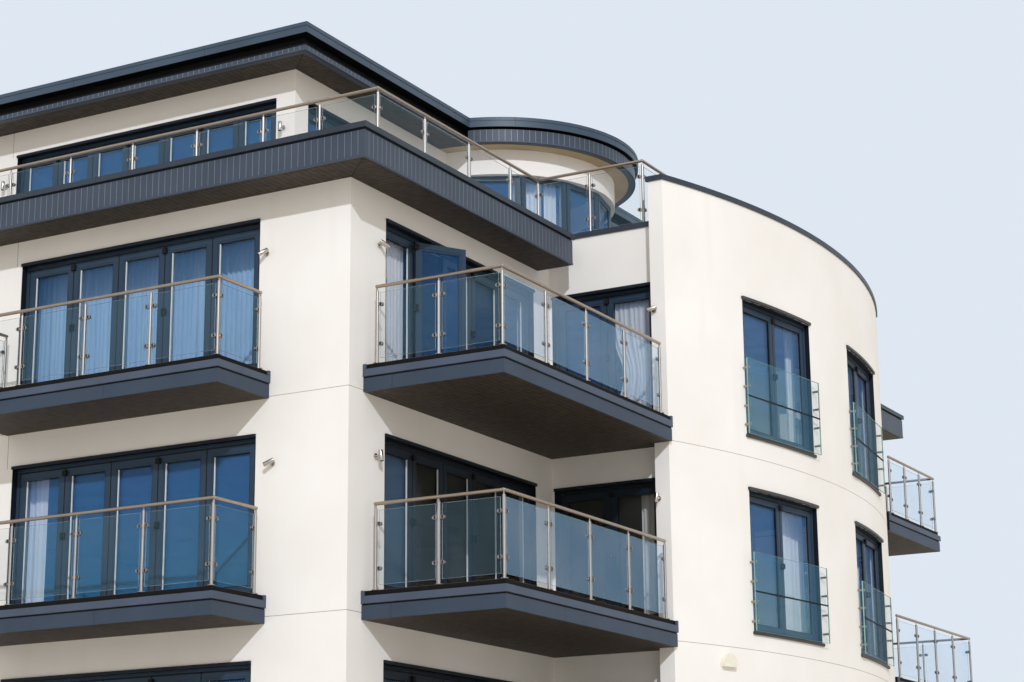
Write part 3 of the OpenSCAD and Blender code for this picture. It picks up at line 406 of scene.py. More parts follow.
# Painted shade and reflection: under the terrace the third storey's doors are painted a deeper blue, for the
# terrace's shade. The side doors below it get a dull blue in their first leaf by the street, and past it a
# near black that paints the dark boards they mirror and the shade they stand in.
for tint, limits in (
        ("#2d6aa8", dict(X=(None, DEEP_X[1]), Z=(9, 12))),
        ("#6a92b8", dict(X=DEEP_X, Z=DEEP_Z)),
        ("#474a46", dict(X=DEEP_X, Y=(CORNER.y + 1.74, None), Z=DEEP_Z))):
    painted_sky_reflection = painted(tree, zone(tree, **limits), painted_sky_reflection, tint)
# The curved wall's windows and the round bay get a paler painted reflection, of the sky's pale foot.
painted_pale_sky_reflection = between(tree, up, "#9fd0e6", "#66a6ee", (0.05, 0.75))
on_bay = zone(tree, X=(CORNER.x + FLAT_SIDE + 0.05, None), Z=above)
open_sky = count(tree, "MAXIMUM", zone(tree, X=(DEEP_X[1], None)), on_bay)
mixed = node(tree, "ShaderNodeMix", links={0: open_sky, 6: painted_sky_reflection, 7: painted_pale_sky_reflection}, data_type="RGBA")
tree.links.new(mixed.outputs[2], shader.inputs["Base Color"])
# Panes are bowed by under 1 mm, which bends their reflections.
rough(tree, shader, spots(tree, 1.2, 1), 0.004, 0.15)
# A pane's spacer bar is pale anodised aluminium, and its seals and the door handles are black.
spacer = mottled("anodised_glazing_bar", "#d3d7d9", ("#cdd2d4", "#dcdfe0"), 0.2, 0.45, 1)
# The same black fills gaps of the terrace edge and the balconies, as painted shade there.
rubber_and_painted_shade = mottled("black_rubber", "#0e0f10", ("#0b0b0c", "#151617"), 0.05, 0.7, Specular_IOR_Level=0.3)
print(f"{window_glass.name}: {len(tree.nodes)} nodes")

# %% [markdown]
# Boards under the roof, the terrace edge and the balconies are dark planks, 100 mm wide, with black gaps.
# Under the roof and the terrace they are short and run square to the wall, so they meet in a mitre at the
# corners. Under a balcony they run along its length. Each plank could be a piece of its own, but they lie in
# shade and flush, so their gaps are drawn in the finish with a little depth.

# %% Boards overhead
PLANK, PLANK_GAP = 0.1, 0.012


def soffit_finish(name, half=None):
    """Planks square to a block's walls when its half width and depth are given, else along a balcony."""
    made, tree, shader = finish(name, "#34302e", 0.6, Specular_IOR_Level=0.3)
    across, along = axis(tree, "X"), axis(tree, "Y")
    if half:
        past_side = count(tree, "SUBTRACT", count(tree, "ABSOLUTE", across), half[0])
        past_end = count(tree, "SUBTRACT", count(tree, "ABSOLUTE", along), half[1])
        at_side = count(tree, "GREATER_THAN", past_side, past_end)
        apart = count(tree, "ABSOLUTE", count(tree, "SUBTRACT", past_side, past_end))
        mitre = count(tree, "LESS_THAN", apart, PLANK_GAP)
    else:
        at_side = count(tree, "LESS_THAN", along, CORNER.y)
        mitre = 0
    lengthways, crossways = (stripe(tree, way, PLANK, PLANK_GAP) for way in (across, along))
    gaps = node(tree, "ShaderNodeMix", links={0: at_side, 2: lengthways, 3: crossways}).outputs[0]
    gaps = count(tree, "MAXIMUM", gaps, mitre)
    grain = between(tree, spots(tree, 0.12), "#322a24", "#4f4439")
    tree.links.new(painted(tree, gaps, grain, "#050505"), shader.inputs["Base Color"])
    rough(tree, shader, count(tree, "SUBTRACT", 1, gaps), 0.005)
    return made


terrace_planks = soffit_finish("terrace_soffit_boards", (WIDTH / 2, DEPTH / 2))
roof_planks = soffit_finish("roof_soffit_boards", ((FLAT_SIDE - FLAT_BACK) / 2, (FLAT_REAR - FLAT_FRONT) / 2))
balcony_planks = soffit_finish("balcony_soffit_boards")
print(f"soffit planks {PLANK * 1000:.0f} mm wide")

# %% [markdown]
# Decks are dark composite boards, 145 mm wide. Their end grain at a balcony's edge is painted near black as
# shade, and their tops are painted lighter. The floors are cast concrete, painted darker as shade for the dim
# rooms, and the terrace has pale slabs. All of them are seen from below or not at all, so a pattern is enough
# and no board needs its own edges.

# %% Decks and floors
DECK_BOARD, SLAB, TOP_SKIN = 0.145, 0.6, 0.003
deck_wood, tree, shader = finish("composite_decking", "#241e1b", 0.85, Specular_IOR_Level=0.2)
# Painted shade: the end grain and sides near black, the tops lighter.
ends = between(tree, spots(tree, 0.04, 4, (1, 0.08, 1)), "#0c0b0a", "#171412")
on_top = count(tree, "LESS_THAN", past_level(tree, GROUND_FLOOR - TOP_SKIN), 2 * TOP_SKIN)
boards = painted(tree, on_top, ends, "#5a524b")
boards = painted(tree, stripe(tree, axis(tree, "X"), DECK_BOARD, 0.006), boards, "#0a0908")
tree.links.new(boards, shader.inputs["Base Color"])
rough(tree, shader, spots(tree, 0.01, 3, (1, 0.1, 1)), 0.001, 0.6)
# The floors' concrete is darker than its own grey, painted shade for the dim rooms.
concrete_in_painted_shade = mottled("cast_concrete_painted_darker", "#75716c", ("#6c6863", "#7f7b76"), 0.8, 0.85)
tree = concrete_in_painted_shade.node_tree
rough(tree, tree.nodes["Principled BSDF"], spots(tree, 0.02), 0.001, 0.5)
paving, tree, shader = finish("terrace_paving", "#b5aea2", 0.85)
stones = between(tree, spots(tree, 0.5), "#a8a195", "#bfb8ac")
cross = count(tree, "MAXIMUM", *(stripe(tree, axis(tree, way), SLAB, 0.006) for way in "XY"))
tree.links.new(painted(tree, cross, stones, "#5d584f"), shader.inputs["Base Color"])
print(f"deck boards {DECK_BOARD * 1000:.0f} mm wide, slabs {SLAB * 1000:.0f} mm")

# %% [markdown]
# The last finishes are the black membrane in the roof's shadow gap, made blacker there as painted shade, the
# cream panels under the bay's roof, painted darker as shade, the ivory plastic of the alarm box and two
# curtain
# cloths: a voile painted blue for the sky's reflection in its pane, and a white cotton. Cloth could have
# every thread in its mesh, but from the street only its slubs and its sheen are seen, so these are drawn.

# %% Membrane, panels, plastic and cloth
# The membrane is near black, partly its own colour and partly painted shade in the roof's gap.
membrane_and_painted_shadow = mottled("roof_membrane_and_painted_shadow", "#0d0e10", ("#0a0b0c", "#131517"), 0.9, 0.85, Specular_IOR_Level=0.2)
ivory = mottled("ivory_plastic", "#efe8d6", ("#ebe3d0", "#f2ecdd"), 0.08, 0.45)
cream, tree, shader = finish("cream_panels", "#e3dac9", 0.7)
# The panels are painted darker and browner than their cream, as shade under the bay's roof.
panels_in_painted_shade = between(tree, spots(tree, 0.6), "#b09c7c", "#bfab8c")
panels_in_painted_shade = painted(tree, stripe(tree, axis(tree, "Y"), 1.2, 0.008), panels_in_painted_shade, "#a99f8d")
tree.links.new(panels_in_painted_shade, shader.inputs["Base Color"])


def woven(name, low, high):
    """Cloth with slubs along its fall. Its threads of 0.4 mm are drawn 5 mm thick."""
    made, tree, shader = finish(name, low, 0.95, Sheen_Weight=0.3)
    slubs = spots(tree, 0.03, 3, (1, 1, 0.04))
    tree.links.new(between(tree, slubs, low, high), shader.inputs["Base Color"])
    threads = count(tree, "ADD", stripe(tree, axis(tree, "Z"), 0.01, 0.005), slubs)
    rough(tree, shader, threads, 0.0006, 0.5)
    return made


# The voile's blue is a painted reflection of the sky in the pane before it.
voile_painted_sky_blue = woven("voile_painted_sky_blue", "#b2dafa", "#c8e8ff")
white_cotton = woven("white_cotton", "#eef0ec", "#fbfbf8")
print(len(bpy.data.materials), "materials so far, counting those of the CAD")

# %% [markdown]
# A node of the CAD keeps its shape and gets its finish by its material slot. It could be built again with
# softer edges, but walls and floors are plain, and the render's grain and beads are all that they show.

# %% Finishes of the CAD's own nodes
CAD_FINISH = {
    render: ["front_wall", "side_walls", "recess_walls", "drum_wall_left", "drum_wall_right", "rear_wall",
             "back_wall", "flat_end_walls", "flat_side_walls", "flat_back_wall", "bay_wall"],
    concrete_in_painted_shade: ["floor_slabs"], paving: ["terrace_slab"], membrane_and_painted_shadow: ["roof_slab"], cap_coat: ["roof_cap"],
    coping_coat: ["copings"], terrace_planks: ["terrace_soffit"], roof_planks: ["roof_soffit"],
    balcony_planks: ["balcony_soffits"], cream: ["bay_soffit"], trim_coat: ["drum_trims"],
    ivory: ["alarm_box"], guard_glass: ["guard_glass"], cast_steel: ["guard_pins"],
    window_glass: ["front_door_glass", "side_door_glass", "drum_window_glass", "back_window_glass",
                   "flat_door_glass"],
}
for made, names in CAD_FINISH.items():
    for name in names:
        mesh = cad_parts[name].data
        mesh.materials.clear()
        mesh.materials.append(made)
print(sum(len(names) for names in CAD_FINISH.values()), "CAD nodes have their finish")

# %% [markdown]
# Small helpers for the pieces. Every shape could be an object of its own, but the block has thousands of
# them. So a part that repeats, such as a clamp or a leaf, is shaped once and then set down at each of its
# places in one mesh, and that mesh becomes the piece.

# %% Helpers for meshes
def block(bm, low, high):
    """A box between two corners."""
    low, high = Vector(low), Vector(high)
    place = Matrix.Translation((high + low) / 2) @ Matrix.Diagonal((*(high - low), 1))
    return bmesh.ops.create_cube(bm, size=1, matrix=place)["verts"]


def soften(bm, offset, edges=None, segments=1):
    """Rounds edges, all of them where none are named."""
    bmesh.ops.bevel(bm, geom=bm.edges[:] if edges is None else edges, offset=offset, offset_type="OFFSET",
                    segments=segments, profile=0.5, affect="EDGES", material=-1)


def rod(bm, start, end, radius, sides=16, soft=0.0, segments=3):
    """A round bar between two points, with its ends rounded by soft."""
    start, end = Vector(start), Vector(end)
    line = end - start
    turn = line.to_track_quat("Z", "Y").to_matrix().to_4x4()
    made = bmesh.ops.create_cone(
        bm, cap_ends=True, segments=sides, radius1=radius, radius2=radius, depth=line.length,
        matrix=Matrix.Translation((start + end) / 2) @ turn)["verts"]
    if soft:
        rims = [e for e in {e for v in made for e in v.link_edges}
                if len(e.link_faces) == 2 and sorted(len(f.verts) for f in e.link_faces) == [4, sides]]
        soften(bm, soft, rims, segments)
    return made


def as_mesh(bm, name, closed=True):
    """Turns a bmesh into a mesh. The faces of a closed shape are made to point outwards."""
    if closed:
        bmesh.ops.recalc_face_normals(bm, faces=bm.faces)
    mesh = bpy.data.meshes.new(name)
    bm.to_mesh(mesh)
    bm.free()
    return mesh


def set_down(bm, mesh, place):
    """Adds a copy of a mesh at a place."""
    copy = mesh.copy()
    copy.transform(place)
    bm.from_mesh(copy)
    bpy.data.meshes.remove(copy)


def piece(name, bm, material, replaces=(), smooth=False, closed=True):
    """Makes the finished object: its place is in its mesh, and it rides on the block."""
    mesh = as_mesh(bm, name, closed)
    mesh.materials.append(material)
    if smooth:
        mesh.shade_smooth()
        mesh.set_sharp_from_angle(angle=math.radians(40))
    made = bpy.data.objects.new(name, mesh)
    scene.collection.objects.link(made)
    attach(made, "root")
    if replaces:
        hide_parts(*replaces)
    print(f"{name}: {sum(len(p.vertices) - 2 for p in mesh.polygons)} triangles")
    return made


print("helpers for meshes are ready")

# %% [markdown]
# The terrace edge is clad in narrow metal boards that meet in V-shaped grooves. The low light catches the
# edge in each groove, so the cladding reads as fine upright lines. Boards could be boxes set side by side,
# but then each corner would need its own cut. So a line in plan with a notch at every joint is drawn first,
# and one upward extrusion turns it into the whole boarded face. A slim bright bar stands in each groove, a
# painted highlight for the sun's glint on the satin coat at the board's edge.

# %% Boards of the terrace edge
BOARD, GROOVE, GROOVE_DEPTH = 0.105, 0.014, 0.008
BAND_OUT, BAND_END = 0.62, 5.19
# Levels below the terrace: the lip at the band's foot, its boards, and the gap at their head, whose black
# strip is painted shade.
LIP_LOW, LIP_TOP = TERRACE - 0.48, TERRACE - 0.452
BOARD_LOW, BOARD_TOP = TERRACE - 0.455, TERRACE - 0.105
GAP_LOW, GAP_TOP = TERRACE - 0.11, TERRACE - 0.08


def notched(points, closed=False):
    """The plan line through the points with a groove at every board's edge, cut to the right of its way,
    and the place of each groove with its direction."""
    line, joints = [], []
    for start, end in zip(points, points[1:] + points[:1] if closed else points[1:]):
        start, end = Vector(start), Vector(end)
        boards = max(1, round((end - start).length / BOARD))
        way = (end - start).normalized()
        inward = Vector((way.y, -way.x))
        line.append(start)
        for i in range(1, boards):
            joint = start + (end - start) * i / boards
            line += [joint - way * GROOVE / 2, joint + inward * GROOVE_DEPTH, joint + way * GROOVE / 2]
            joints.append((joint, math.atan2(way.y, way.x)))
    return line if closed else line + [Vector(points[-1])], joints


def upstand(line, low, high, thickness, closed=False):
    """Stands a plan line up between two heights and gives it a thickness."""
    bm = bmesh.new()
    verts = [bm.verts.new((p[0], p[1], low)) for p in line]
    edges = [bm.edges.new(pair) for pair in zip(verts, verts[1:] + verts[:1] if closed else verts[1:])]
    top = bmesh.ops.extrude_edge_only(bm, edges=edges)["geom"]
    raised = [v for v in top if isinstance(v, bmesh.types.BMVert)]
    bmesh.ops.translate(bm, verts=raised, vec=(0, 0, high - low))
    bmesh.ops.solidify(bm, geom=bm.faces[:], thickness=thickness)
    bmesh.ops.translate(bm, verts=bm.verts, vec=CORNER)
    return bm


def joint_highlight_bars(joints, low, high, width, sunk):
    """A slim bar in every groove, a painted highlight on the board's edge. Inward of a joint is to the right
    of its way, so local -y.
    """
    bar = bmesh.new()
    block(bar, (-width / 2, -sunk - 0.006, low), (width / 2, -sunk, high))
    bar = as_mesh(bar, "bar")
    bm = bmesh.new()
    for joint, angle in joints:
        set_down(bm, bar, at(joint.x, joint.y, 0, math.degrees(angle)))
    return bm


def band_plan(back=0.0):
    """The band's outline at a distance in from its face. It stops at the curved wall on both sides."""
    right, left = BAND_OUT - back, back - BAND_OUT - WIDTH
    front, rear = back - BAND_OUT, DEPTH + BAND_OUT - back
    start, end = BAND_END - back, 2 * DRUM_Y - BAND_END + back
    return [(0.0, start), (right, start), (right, front), (left, front),
            (left, rear), (right, rear), (right, end), (0.0, end)]


line, joints = notched(band_plan(0.006))
bm = upstand(line, BOARD_LOW, BOARD_TOP, 0.02)
bm.from_mesh(as_mesh(upstand(band_plan(), LIP_LOW, LIP_TOP, 0.045), "lip"))
piece("terrace_boards", bm, board_coat, ["terrace_band"])
bars = joint_highlight_bars(joints, LIP_TOP, BOARD_TOP - 0.002, 0.006, 0.001)
piece("terrace_board_joint_highlights", bars, joint_highlight_coat)
# A black strip in the real gap under the coping paints the shade in it.
piece("terrace_shadow_gap", upstand(band_plan(0.02), GAP_LOW, GAP_TOP, 0.02), rubber_and_painted_shade)
print(len(joints), "joints between the terrace boards")

# %% [markdown]
# The roof's edge has the same boards in a lower strip under a black band, which is painted shadow of the cap
# on the boards, with a slim trim at their foot. They follow the round bay too, where they reach up to the
# cap.
# The cap is folded from two sheets, so a second lip runs along its upper third. Each could be drawn by
# itself, but one plan line at several distances in makes them all, so that none can drift from the others.

# %% Boards and lip of the roof's edge
BAY = Vector((FLAT_SIDE - 0.18, 9.36))
ROOF_OUT, BAY_ROOF_R, ROOF_TOP, BAY_BOARD_TURN = 0.63, 2.52, 15.15, 2.45
EDGE_BACK, EDGE_LOW, EDGE_TOP, EDGE_BOARDS = 0.056, 14.722, 14.838, 0.084


def roof_plan(back):
    """The roof's outline at a distance in from its top edge: a rectangle with the round bay on its side."""
    right, left = FLAT_SIDE + ROOF_OUT - back, FLAT_BACK - ROOF_OUT + back
    front, rear = FLAT_FRONT - ROOF_OUT + back, FLAT_REAR + ROOF_OUT - back
    radius = BAY_ROOF_R - back
    half = math.degrees(math.acos((right - BAY.x) / radius))
    steps = round(2 * half / BAY_BOARD_TURN)
    arc = [math.radians(half - 2 * half * i / steps) for i in range(steps + 1)]
    return [(right, front), (left, front), (left, rear), (right, rear)] + [
        (BAY.x + radius * math.cos(a), BAY.y + radius * math.sin(a)) for a in arc]


line, joints = notched(roof_plan(EDGE_BACK), True)
bm = upstand(line, EDGE_LOW, EDGE_LOW + EDGE_BOARDS, 0.02, True)
bm.from_mesh(as_mesh(upstand(roof_plan(EDGE_BACK + 0.015), EDGE_LOW + 0.001, EDGE_TOP, 0.108, True), "body"))
piece("roof_edge_boards", bm, board_coat, ["roof_cladding"])
# The round part has a board to every step of its outline, so its joints are the outline's own corners, and
# its boards stand taller.
arc = roof_plan(EDGE_BACK)[4:]
bay_top = EDGE_TOP + 0.11
piece("bay_edge_boards", upstand(arc, EDGE_LOW + EDGE_BOARDS, bay_top, 0.02), board_coat)
bay_joints = [(Vector(a), math.atan2(b[1] - a[1], b[0] - a[0])) for a, b in zip(arc, arc[1:])]
# The bars in the roof's grooves carry the same painted highlight.
bars = joint_highlight_bars(joints, EDGE_LOW + 0.02, EDGE_LOW + EDGE_BOARDS - 0.001, 0.008, 0.001)
bars.from_mesh(as_mesh(joint_highlight_bars(bay_joints, EDGE_LOW + 0.02, bay_top - 0.001, 0.008, -0.0015), "bars"))
piece("roof_board_joint_highlights", bars, joint_highlight_coat)
# The straight sides run from the bay's last point round to its first.
straight = roof_plan(EDGE_BACK + 0.004)
straight = [straight[-1]] + straight[:5]
# On the straight sides a black band over the boards is the cap's painted shadow.
edge = upstand(straight, EDGE_LOW + EDGE_BOARDS - 0.002, EDGE_TOP, 0.03)
piece("roof_edge_painted_shadow", edge, membrane_and_painted_shadow)
edge = upstand(roof_plan(EDGE_BACK - 0.005), EDGE_LOW, EDGE_LOW + 0.02, 0.02, True)
piece("roof_edge_trim", edge, flashing_coat)
edge = upstand(roof_plan(-0.008), ROOF_TOP - 0.06, ROOF_TOP - 0.002, 0.016, True)
piece("roof_cap_lip", edge, cap_coat)
print(len(joints) + len(bay_joints), "joints between the roof's boards")

# %% [markdown]
# Folding doors and windows share one kind of leaf. A profile could be swept round each rectangle, but here it
# is one face that is inset again and again: a chamfer, the flat of the stile, the step of the glazing bead
# and the lip that holds the pane. That keeps all four corners mitred. Every second leaf carries a black
# handle and a black lock case at its head.

# %% Leaves, handles and seals
STILE, FRAME, LEAF_GAP, HEAD_GAP, BAR = 0.112, 0.06, 0.009, 0.016, 0.016


def frame_ring(width, height, border, depth):
    """A rectangular frame with a chamfered face and a stepped glazing bead, its face in the plane y = 0."""
    bm = bmesh.new()
    chamfer = 0.003
    corners = ((0, 0), (width, 0), (width, height), (0, height))
    face = bm.faces.new([bm.verts.new((x, chamfer, z)) for x, z in corners])
    # Each step: how far in from the last one, and how far forward.
    steps = ((chamfer, chamfer), (border - 0.033, 0.0), (0.003, -0.006), (0.022, 0.0), (0.003, -0.008))
    for thickness, lift in steps:
        bmesh.ops.inset_region(bm, faces=[face], thickness=thickness, depth=lift, use_even_offset=True,
                               use_boundary=True)
    bmesh.ops.delete(bm, geom=[face], context="FACES")
    bmesh.ops.solidify(bm, geom=bm.faces[:], thickness=depth)
    return as_mesh(bm, "ring")


def handle_mesh(top):
    """A D-shaped pull with its plate at hand height, and a lock case under the head."""
    bm = bmesh.new()
    rod(bm, (0, -0.05, 1.0), (0, -0.05, 1.08), 0.012, 8)
    for z in (1.01, 1.07):
        rod(bm, (0, -0.05, z), (0, 0, z), 0.01, 8)
    block(bm, (-0.04, -0.018, 0.99), (0.04, 0.0, 1.09))
    block(bm, (-0.034, -0.038, top - 0.105), (0.034, 0.0, top - 0.028))
    return as_mesh(bm, "handle")


def gasket_mesh(width, height, stile):
    """The black seal round a pane, four thin strips under the glazing bead."""
    bm = bmesh.new()
    for x in (stile - 0.006, width - stile - 0.001):
        block(bm, (x, 0.02, stile), (x + 0.007, 0.04, height - stile))
    for z in (stile - 0.006, height - stile - 0.001):
        block(bm, (stile, 0.02, z), (width - stile, 0.04, z + 0.007))
    return as_mesh(bm, "gasket")


def gap_mesh(width, border, leaves):
    """Dark strips behind the gaps round the leaves, so that no light shows through them."""
    bm = bmesh.new()
    for z in (border - 0.002, HEAD - border - HEAD_GAP):
        block(bm, (border, 0.014, z), (width - border, 0.024, z + HEAD_GAP + 0.002))
    for i in range(leaves + 1):
        x = border + i * (width - 2 * border) / leaves
        block(bm, (x - 0.012, 0.014, border), (x + 0.012, 0.024, HEAD - border))
    return as_mesh(bm, "gaps")


print(f"leaves with stiles of {STILE * 1000:.0f} mm in frames of {FRAME * 1000:.0f} mm")

# %% [markdown]
# A door set is a fixed frame, its leaves and what lines the opening. Between the bead and the pane stands a
# bright bar, the frame's pale inner edge, set only on the side that faces the sun, so that it shows there as
# a lit white line. Folded near-black metal lines the reveal, its black partly painted shade in the reveal,
# and on straight walls a drip mould covers its head. The sets could all be one width of leaf, but the real
# ones differ, so width and number of leaves are given for each set.

# %% One door set
EASE, LINING, DRUM_REVEAL = 0.001, 0.011, REVEAL - 0.02
seals, bars, linings = bmesh.new(), bmesh.new(), bmesh.new()


def lining_mesh(width, drum):
    """Folded metal at the head and both sides of a reveal. On the curved wall the head's front edge follows
    the curve in eight short parts."""
    bm = bmesh.new()
    reach, edge, parts = DRUM_REVEAL if drum else REVEAL + 0.002, EASE + LINING, 8 if drum else 1
    for x in (EASE, width - edge):
        block(bm, (x, -reach, EASE), (x + LINING, -EASE, HEAD - edge))
    for i in range(parts):
        x0, x1 = (EASE + (width - 2 * EASE) * k / parts for k in (i, i + 1))
        away = max(abs(x0 - width / 2), abs(x1 - width / 2))
        bulge = math.sqrt(DRUM_R**2 - away**2) - math.sqrt(DRUM_R**2 - width**2 / 4) if drum else 0.0
        block(bm, (x0, -reach - bulge, HEAD - edge), (x1, -EASE, HEAD - EASE))
    if not drum:
        front = -REVEAL - 0.03
        block(bm, (0.0, front, HEAD + 0.002), (width, -REVEAL - 0.001, HEAD + 0.026))
        block(bm, (0.0, front, HEAD - 0.018), (width, front + 0.007, HEAD + 0.003))
    return as_mesh(bm, "lining")


def door_set(bm, place, width, leaves, swing=None, sunny=None, drum=False):
    """A fixed frame and its leaves at a place. swing names the leaf that stands open and its angle, and
    sunny says on which side of a pane the glazing bar catches the sun."""
    border, stile = (0.05, 0.086) if drum else (FRAME, STILE)
    set_down(bm, frame_ring(width - 2 * EASE, HEAD - 2 * EASE, border, 0.05), place @ moved(EASE, 0, EASE))
    leaf_w = (width - 2 * border) / leaves
    pane_w, pane_h = leaf_w - 2 * LEAF_GAP, HEAD - 2 * border - LEAF_GAP - HEAD_GAP
    leaf = frame_ring(pane_w, pane_h, stile - 0.003, 0.045)
    handle, gasket = handle_mesh(pane_h), gasket_mesh(pane_w, pane_h, stile)
    for i in range(leaves):
        hinge, is_open = place @ moved(border + i * leaf_w, 0), bool(swing and swing[0] == i)
        spot = hinge @ moved(LEAF_GAP, 0.008, border + LEAF_GAP)
        if is_open:
            spot = hinge @ turned(-swing[1]) @ moved(LEAF_GAP, -0.052, border + LEAF_GAP)
        set_down(bm, leaf, spot)
        set_down(seals, gasket, spot)
        if i % 2 == 1:
            set_down(seals, handle, spot)
        if sunny and not is_open:
            x = stile - 0.004 if sunny == "left" else pane_w - stile - BAR + 0.004
            bar = bmesh.new()
            block(bar, (x, 0.014, stile), (x + BAR, 0.03, pane_h - stile))
            set_down(bars, as_mesh(bar, "bar"), spot)
    set_down(seals, gap_mesh(width, border, leaves), place)
    set_down(linings, lining_mesh(width, drum), place)


print(f"frames stand {REVEAL * 1000:.0f} mm back, and {DRUM_REVEAL * 1000:.0f} mm on the curved wall")

# %% [markdown]
# Every opening of the block gets its set: wide doors to the balconies, a pair of leaves in each window, and
# the top flat's long doors. Their places come from the setting out, as a schedule of doors would list them.
# The round bay has six lights, each as wide as its share of the circle.

# %% Every door and window
WINDOW, RECESS_WINDOW, SIDE_DOOR, REAR_DOOR, FLAT_WINDOW = 2.06, 1.78, 4.18, 3.24, 2.7
SIDE_DOOR_Y, REAR_DOOR_Y = 0.87, 15.245
DRUM_JAMB = math.sqrt(DRUM_R**2 - (WINDOW / 2) ** 2) - DRUM_REVEAL
FRAME_NODES = ("front_doors", "side_doors", "drum_windows", "back_windows", "flat_doors")
frame_sets = {name: [] for name in FRAME_NODES}
sun_left, sun_right = dict(sunny="left"), dict(sunny="right")
for z in STOREYS:
    for x in FRONT_DOORS_X:
        frame_sets["front_doors"].append((at(x, REVEAL, z), FRONT_DOOR, 5, sun_left))
        rear = at(x + (FRONT_DOOR + WINDOW) / 2, DEPTH - REVEAL, z, 180)
        frame_sets["back_windows"].append((rear, WINDOW, 2, {}))
    swing = dict(swing=(1, 31)) if z == THIRD else {}
    frame_sets["side_doors"] += [
        (at(-REVEAL, SIDE_DOOR_Y, z, 90), SIDE_DOOR, 5, {**sun_right, **swing}),
        (at(-REVEAL, REAR_DOOR_Y, z, 90), REAR_DOOR, 4, sun_right),
        (at(0.04, RECESS + REVEAL, z), RECESS_WINDOW, 2, {}),
        (at(0.04 + RECESS_WINDOW, REAR_RECESS - REVEAL, z, 180), RECESS_WINDOW, 2, {})]
    for angle in DRUM_WINDOWS:
        place = on_drum(angle, DRUM_JAMB, z) @ moved(-WINDOW / 2, 0)
        frame_sets["drum_windows"].append((place, WINDOW, 2, dict(drum=True)))
    for i in range(4):
        place = at(-WIDTH + REVEAL, DEPTH * (i + 0.5) / 4 + WINDOW / 2, z, -90)
        frame_sets["back_windows"].append((place, WINDOW, 2, {}))
for y in (DEPTH * 3 / 8, DEPTH * 5 / 8):
    place = at(FLAT_BACK + REVEAL, y + WINDOW / 2, TERRACE, -90)
    frame_sets["back_windows"].append((place, WINDOW, 2, {}))
frame_sets["flat_doors"] = [
    (at(FLAT_DOOR_X, FLAT_FRONT + REVEAL, TERRACE), FLAT_DOOR, 7, sun_left),
    (at(FLAT_DOOR_X + FLAT_DOOR, FLAT_REAR - REVEAL, TERRACE, 180), FLAT_DOOR, 7, sun_left),
    (at(FLAT_SIDE - REVEAL, FLAT_FRONT + FLAT_PIER, TERRACE, 90), FLAT_WINDOW, 3, sun_right),
    (at(FLAT_SIDE - REVEAL, FLAT_REAR - FLAT_PIER - FLAT_WINDOW, TERRACE, 90), FLAT_WINDOW, 3, sun_right)]

# The bay's lights stand a third of its wall's thickness in from its face.
BAY_R, BAY_WALL, BAY_HALF, BAY_LIGHTS = 2.09, 0.2, 74, 6
BAY_RING, BAY_STEP = BAY_R - BAY_WALL / 3, 2 * BAY_HALF / BAY_LIGHTS
BAY_LEAF = 2 * BAY_RING * math.sin(math.radians(BAY_STEP / 2))


def bay_lights(bm):
    """The six lights of the round bay."""
    leaf = frame_ring(BAY_LEAF - 0.03, HEAD - 0.006, 0.09, 0.05)
    chord = BAY_RING * math.cos(math.radians(BAY_STEP / 2))
    for i in range(BAY_LIGHTS):
        place = at(BAY.x, BAY.y, TERRACE, (i + 0.5) * BAY_STEP - BAY_HALF)
        set_down(bm, leaf, place @ moved(chord, -BAY_LEAF / 2) @ turned(90) @ moved(0.015, 0, 0.003))


for name, places in frame_sets.items():
    bm = bmesh.new()
    for place, width, leaves, how in places:
        door_set(bm, place, width, leaves, **how)
    if name == "flat_doors":
        bay_lights(bm)
    frames = name.replace("_doors", "_door_frames").replace("_windows", "_window_frames")
    piece(frames, bm, frames_coat, [name])
piece("door_handles_and_seals", seals, rubber_and_painted_shade)
# The glazing bars stand only on the sunny side of each pane, where the lit edge shows.
piece("glazing_bars", bars, spacer)
# The linings' near black is partly painted shade in the reveals.
piece("reveal_linings", linings, head_coat_and_reveal_shade)
print(sum(len(places) for places in frame_sets.values()), "door sets and", BAY_LIGHTS, "lights in the bay")

# %% [markdown]
# The balcony edges have three layers: a folded fascia, a lapped flashing over a gap whose black core is
# painted shade, and the end grain of the deck on top, painted near black as shade. Where the flashing meets
# the wall it turns up a little, to keep water out. One box with painted lines would be quicker, but each
# layer throws its own shadow on the one below.

# %% Balcony edges
fascia, flashing, deck, gap = bmesh.new(), bmesh.new(), bmesh.new(), bmesh.new()
BALCONY_D, FRONT_W, CORNER_OUT, DECK_IN_RECESS = 1.16, 4.60, 2.155, 1.84
FRONT_BALCONIES_X = (-1.25 - FRONT_W, 1.25 - WIDTH)
CORNER_FREE, REAR_FREE, TOP_REAR_FREE = 0.32, DEPTH - 0.32, DEPTH - 2.0
# Heights over the balcony's underside.
GAP_FOOT, FASCIA_TOP, FLASHING_LOW, DECK_FOOT, FLASHING_TOP, DECK_H = 0.026, 0.180, 0.202, 0.21, 0.3, 0.37


def lapped(start, end, inward, base, sheet=1.5):
    """Flashing in sheets that lap over one another, each a little further out than the last."""
    start, end, inward = Vector(start), Vector(end), Vector(inward)
    sheets = max(1, round((end - start).length / sheet))
    for i in range(sheets):
        a, b = start.lerp(end, i / sheets), start.lerp(end, (i + 1) / sheets)
        shift = inward * (0.0015 if i % 2 else 0.0)
        corners = [a + shift, b + shift, a + shift + inward * 0.03, b + shift + inward * 0.03]
        low = (min(c.x for c in corners), min(c.y for c in corners), base + FLASHING_LOW)
        high = (max(c.x for c in corners), max(c.y for c in corners), base + FLASHING_TOP)
        block(flashing, low, high)


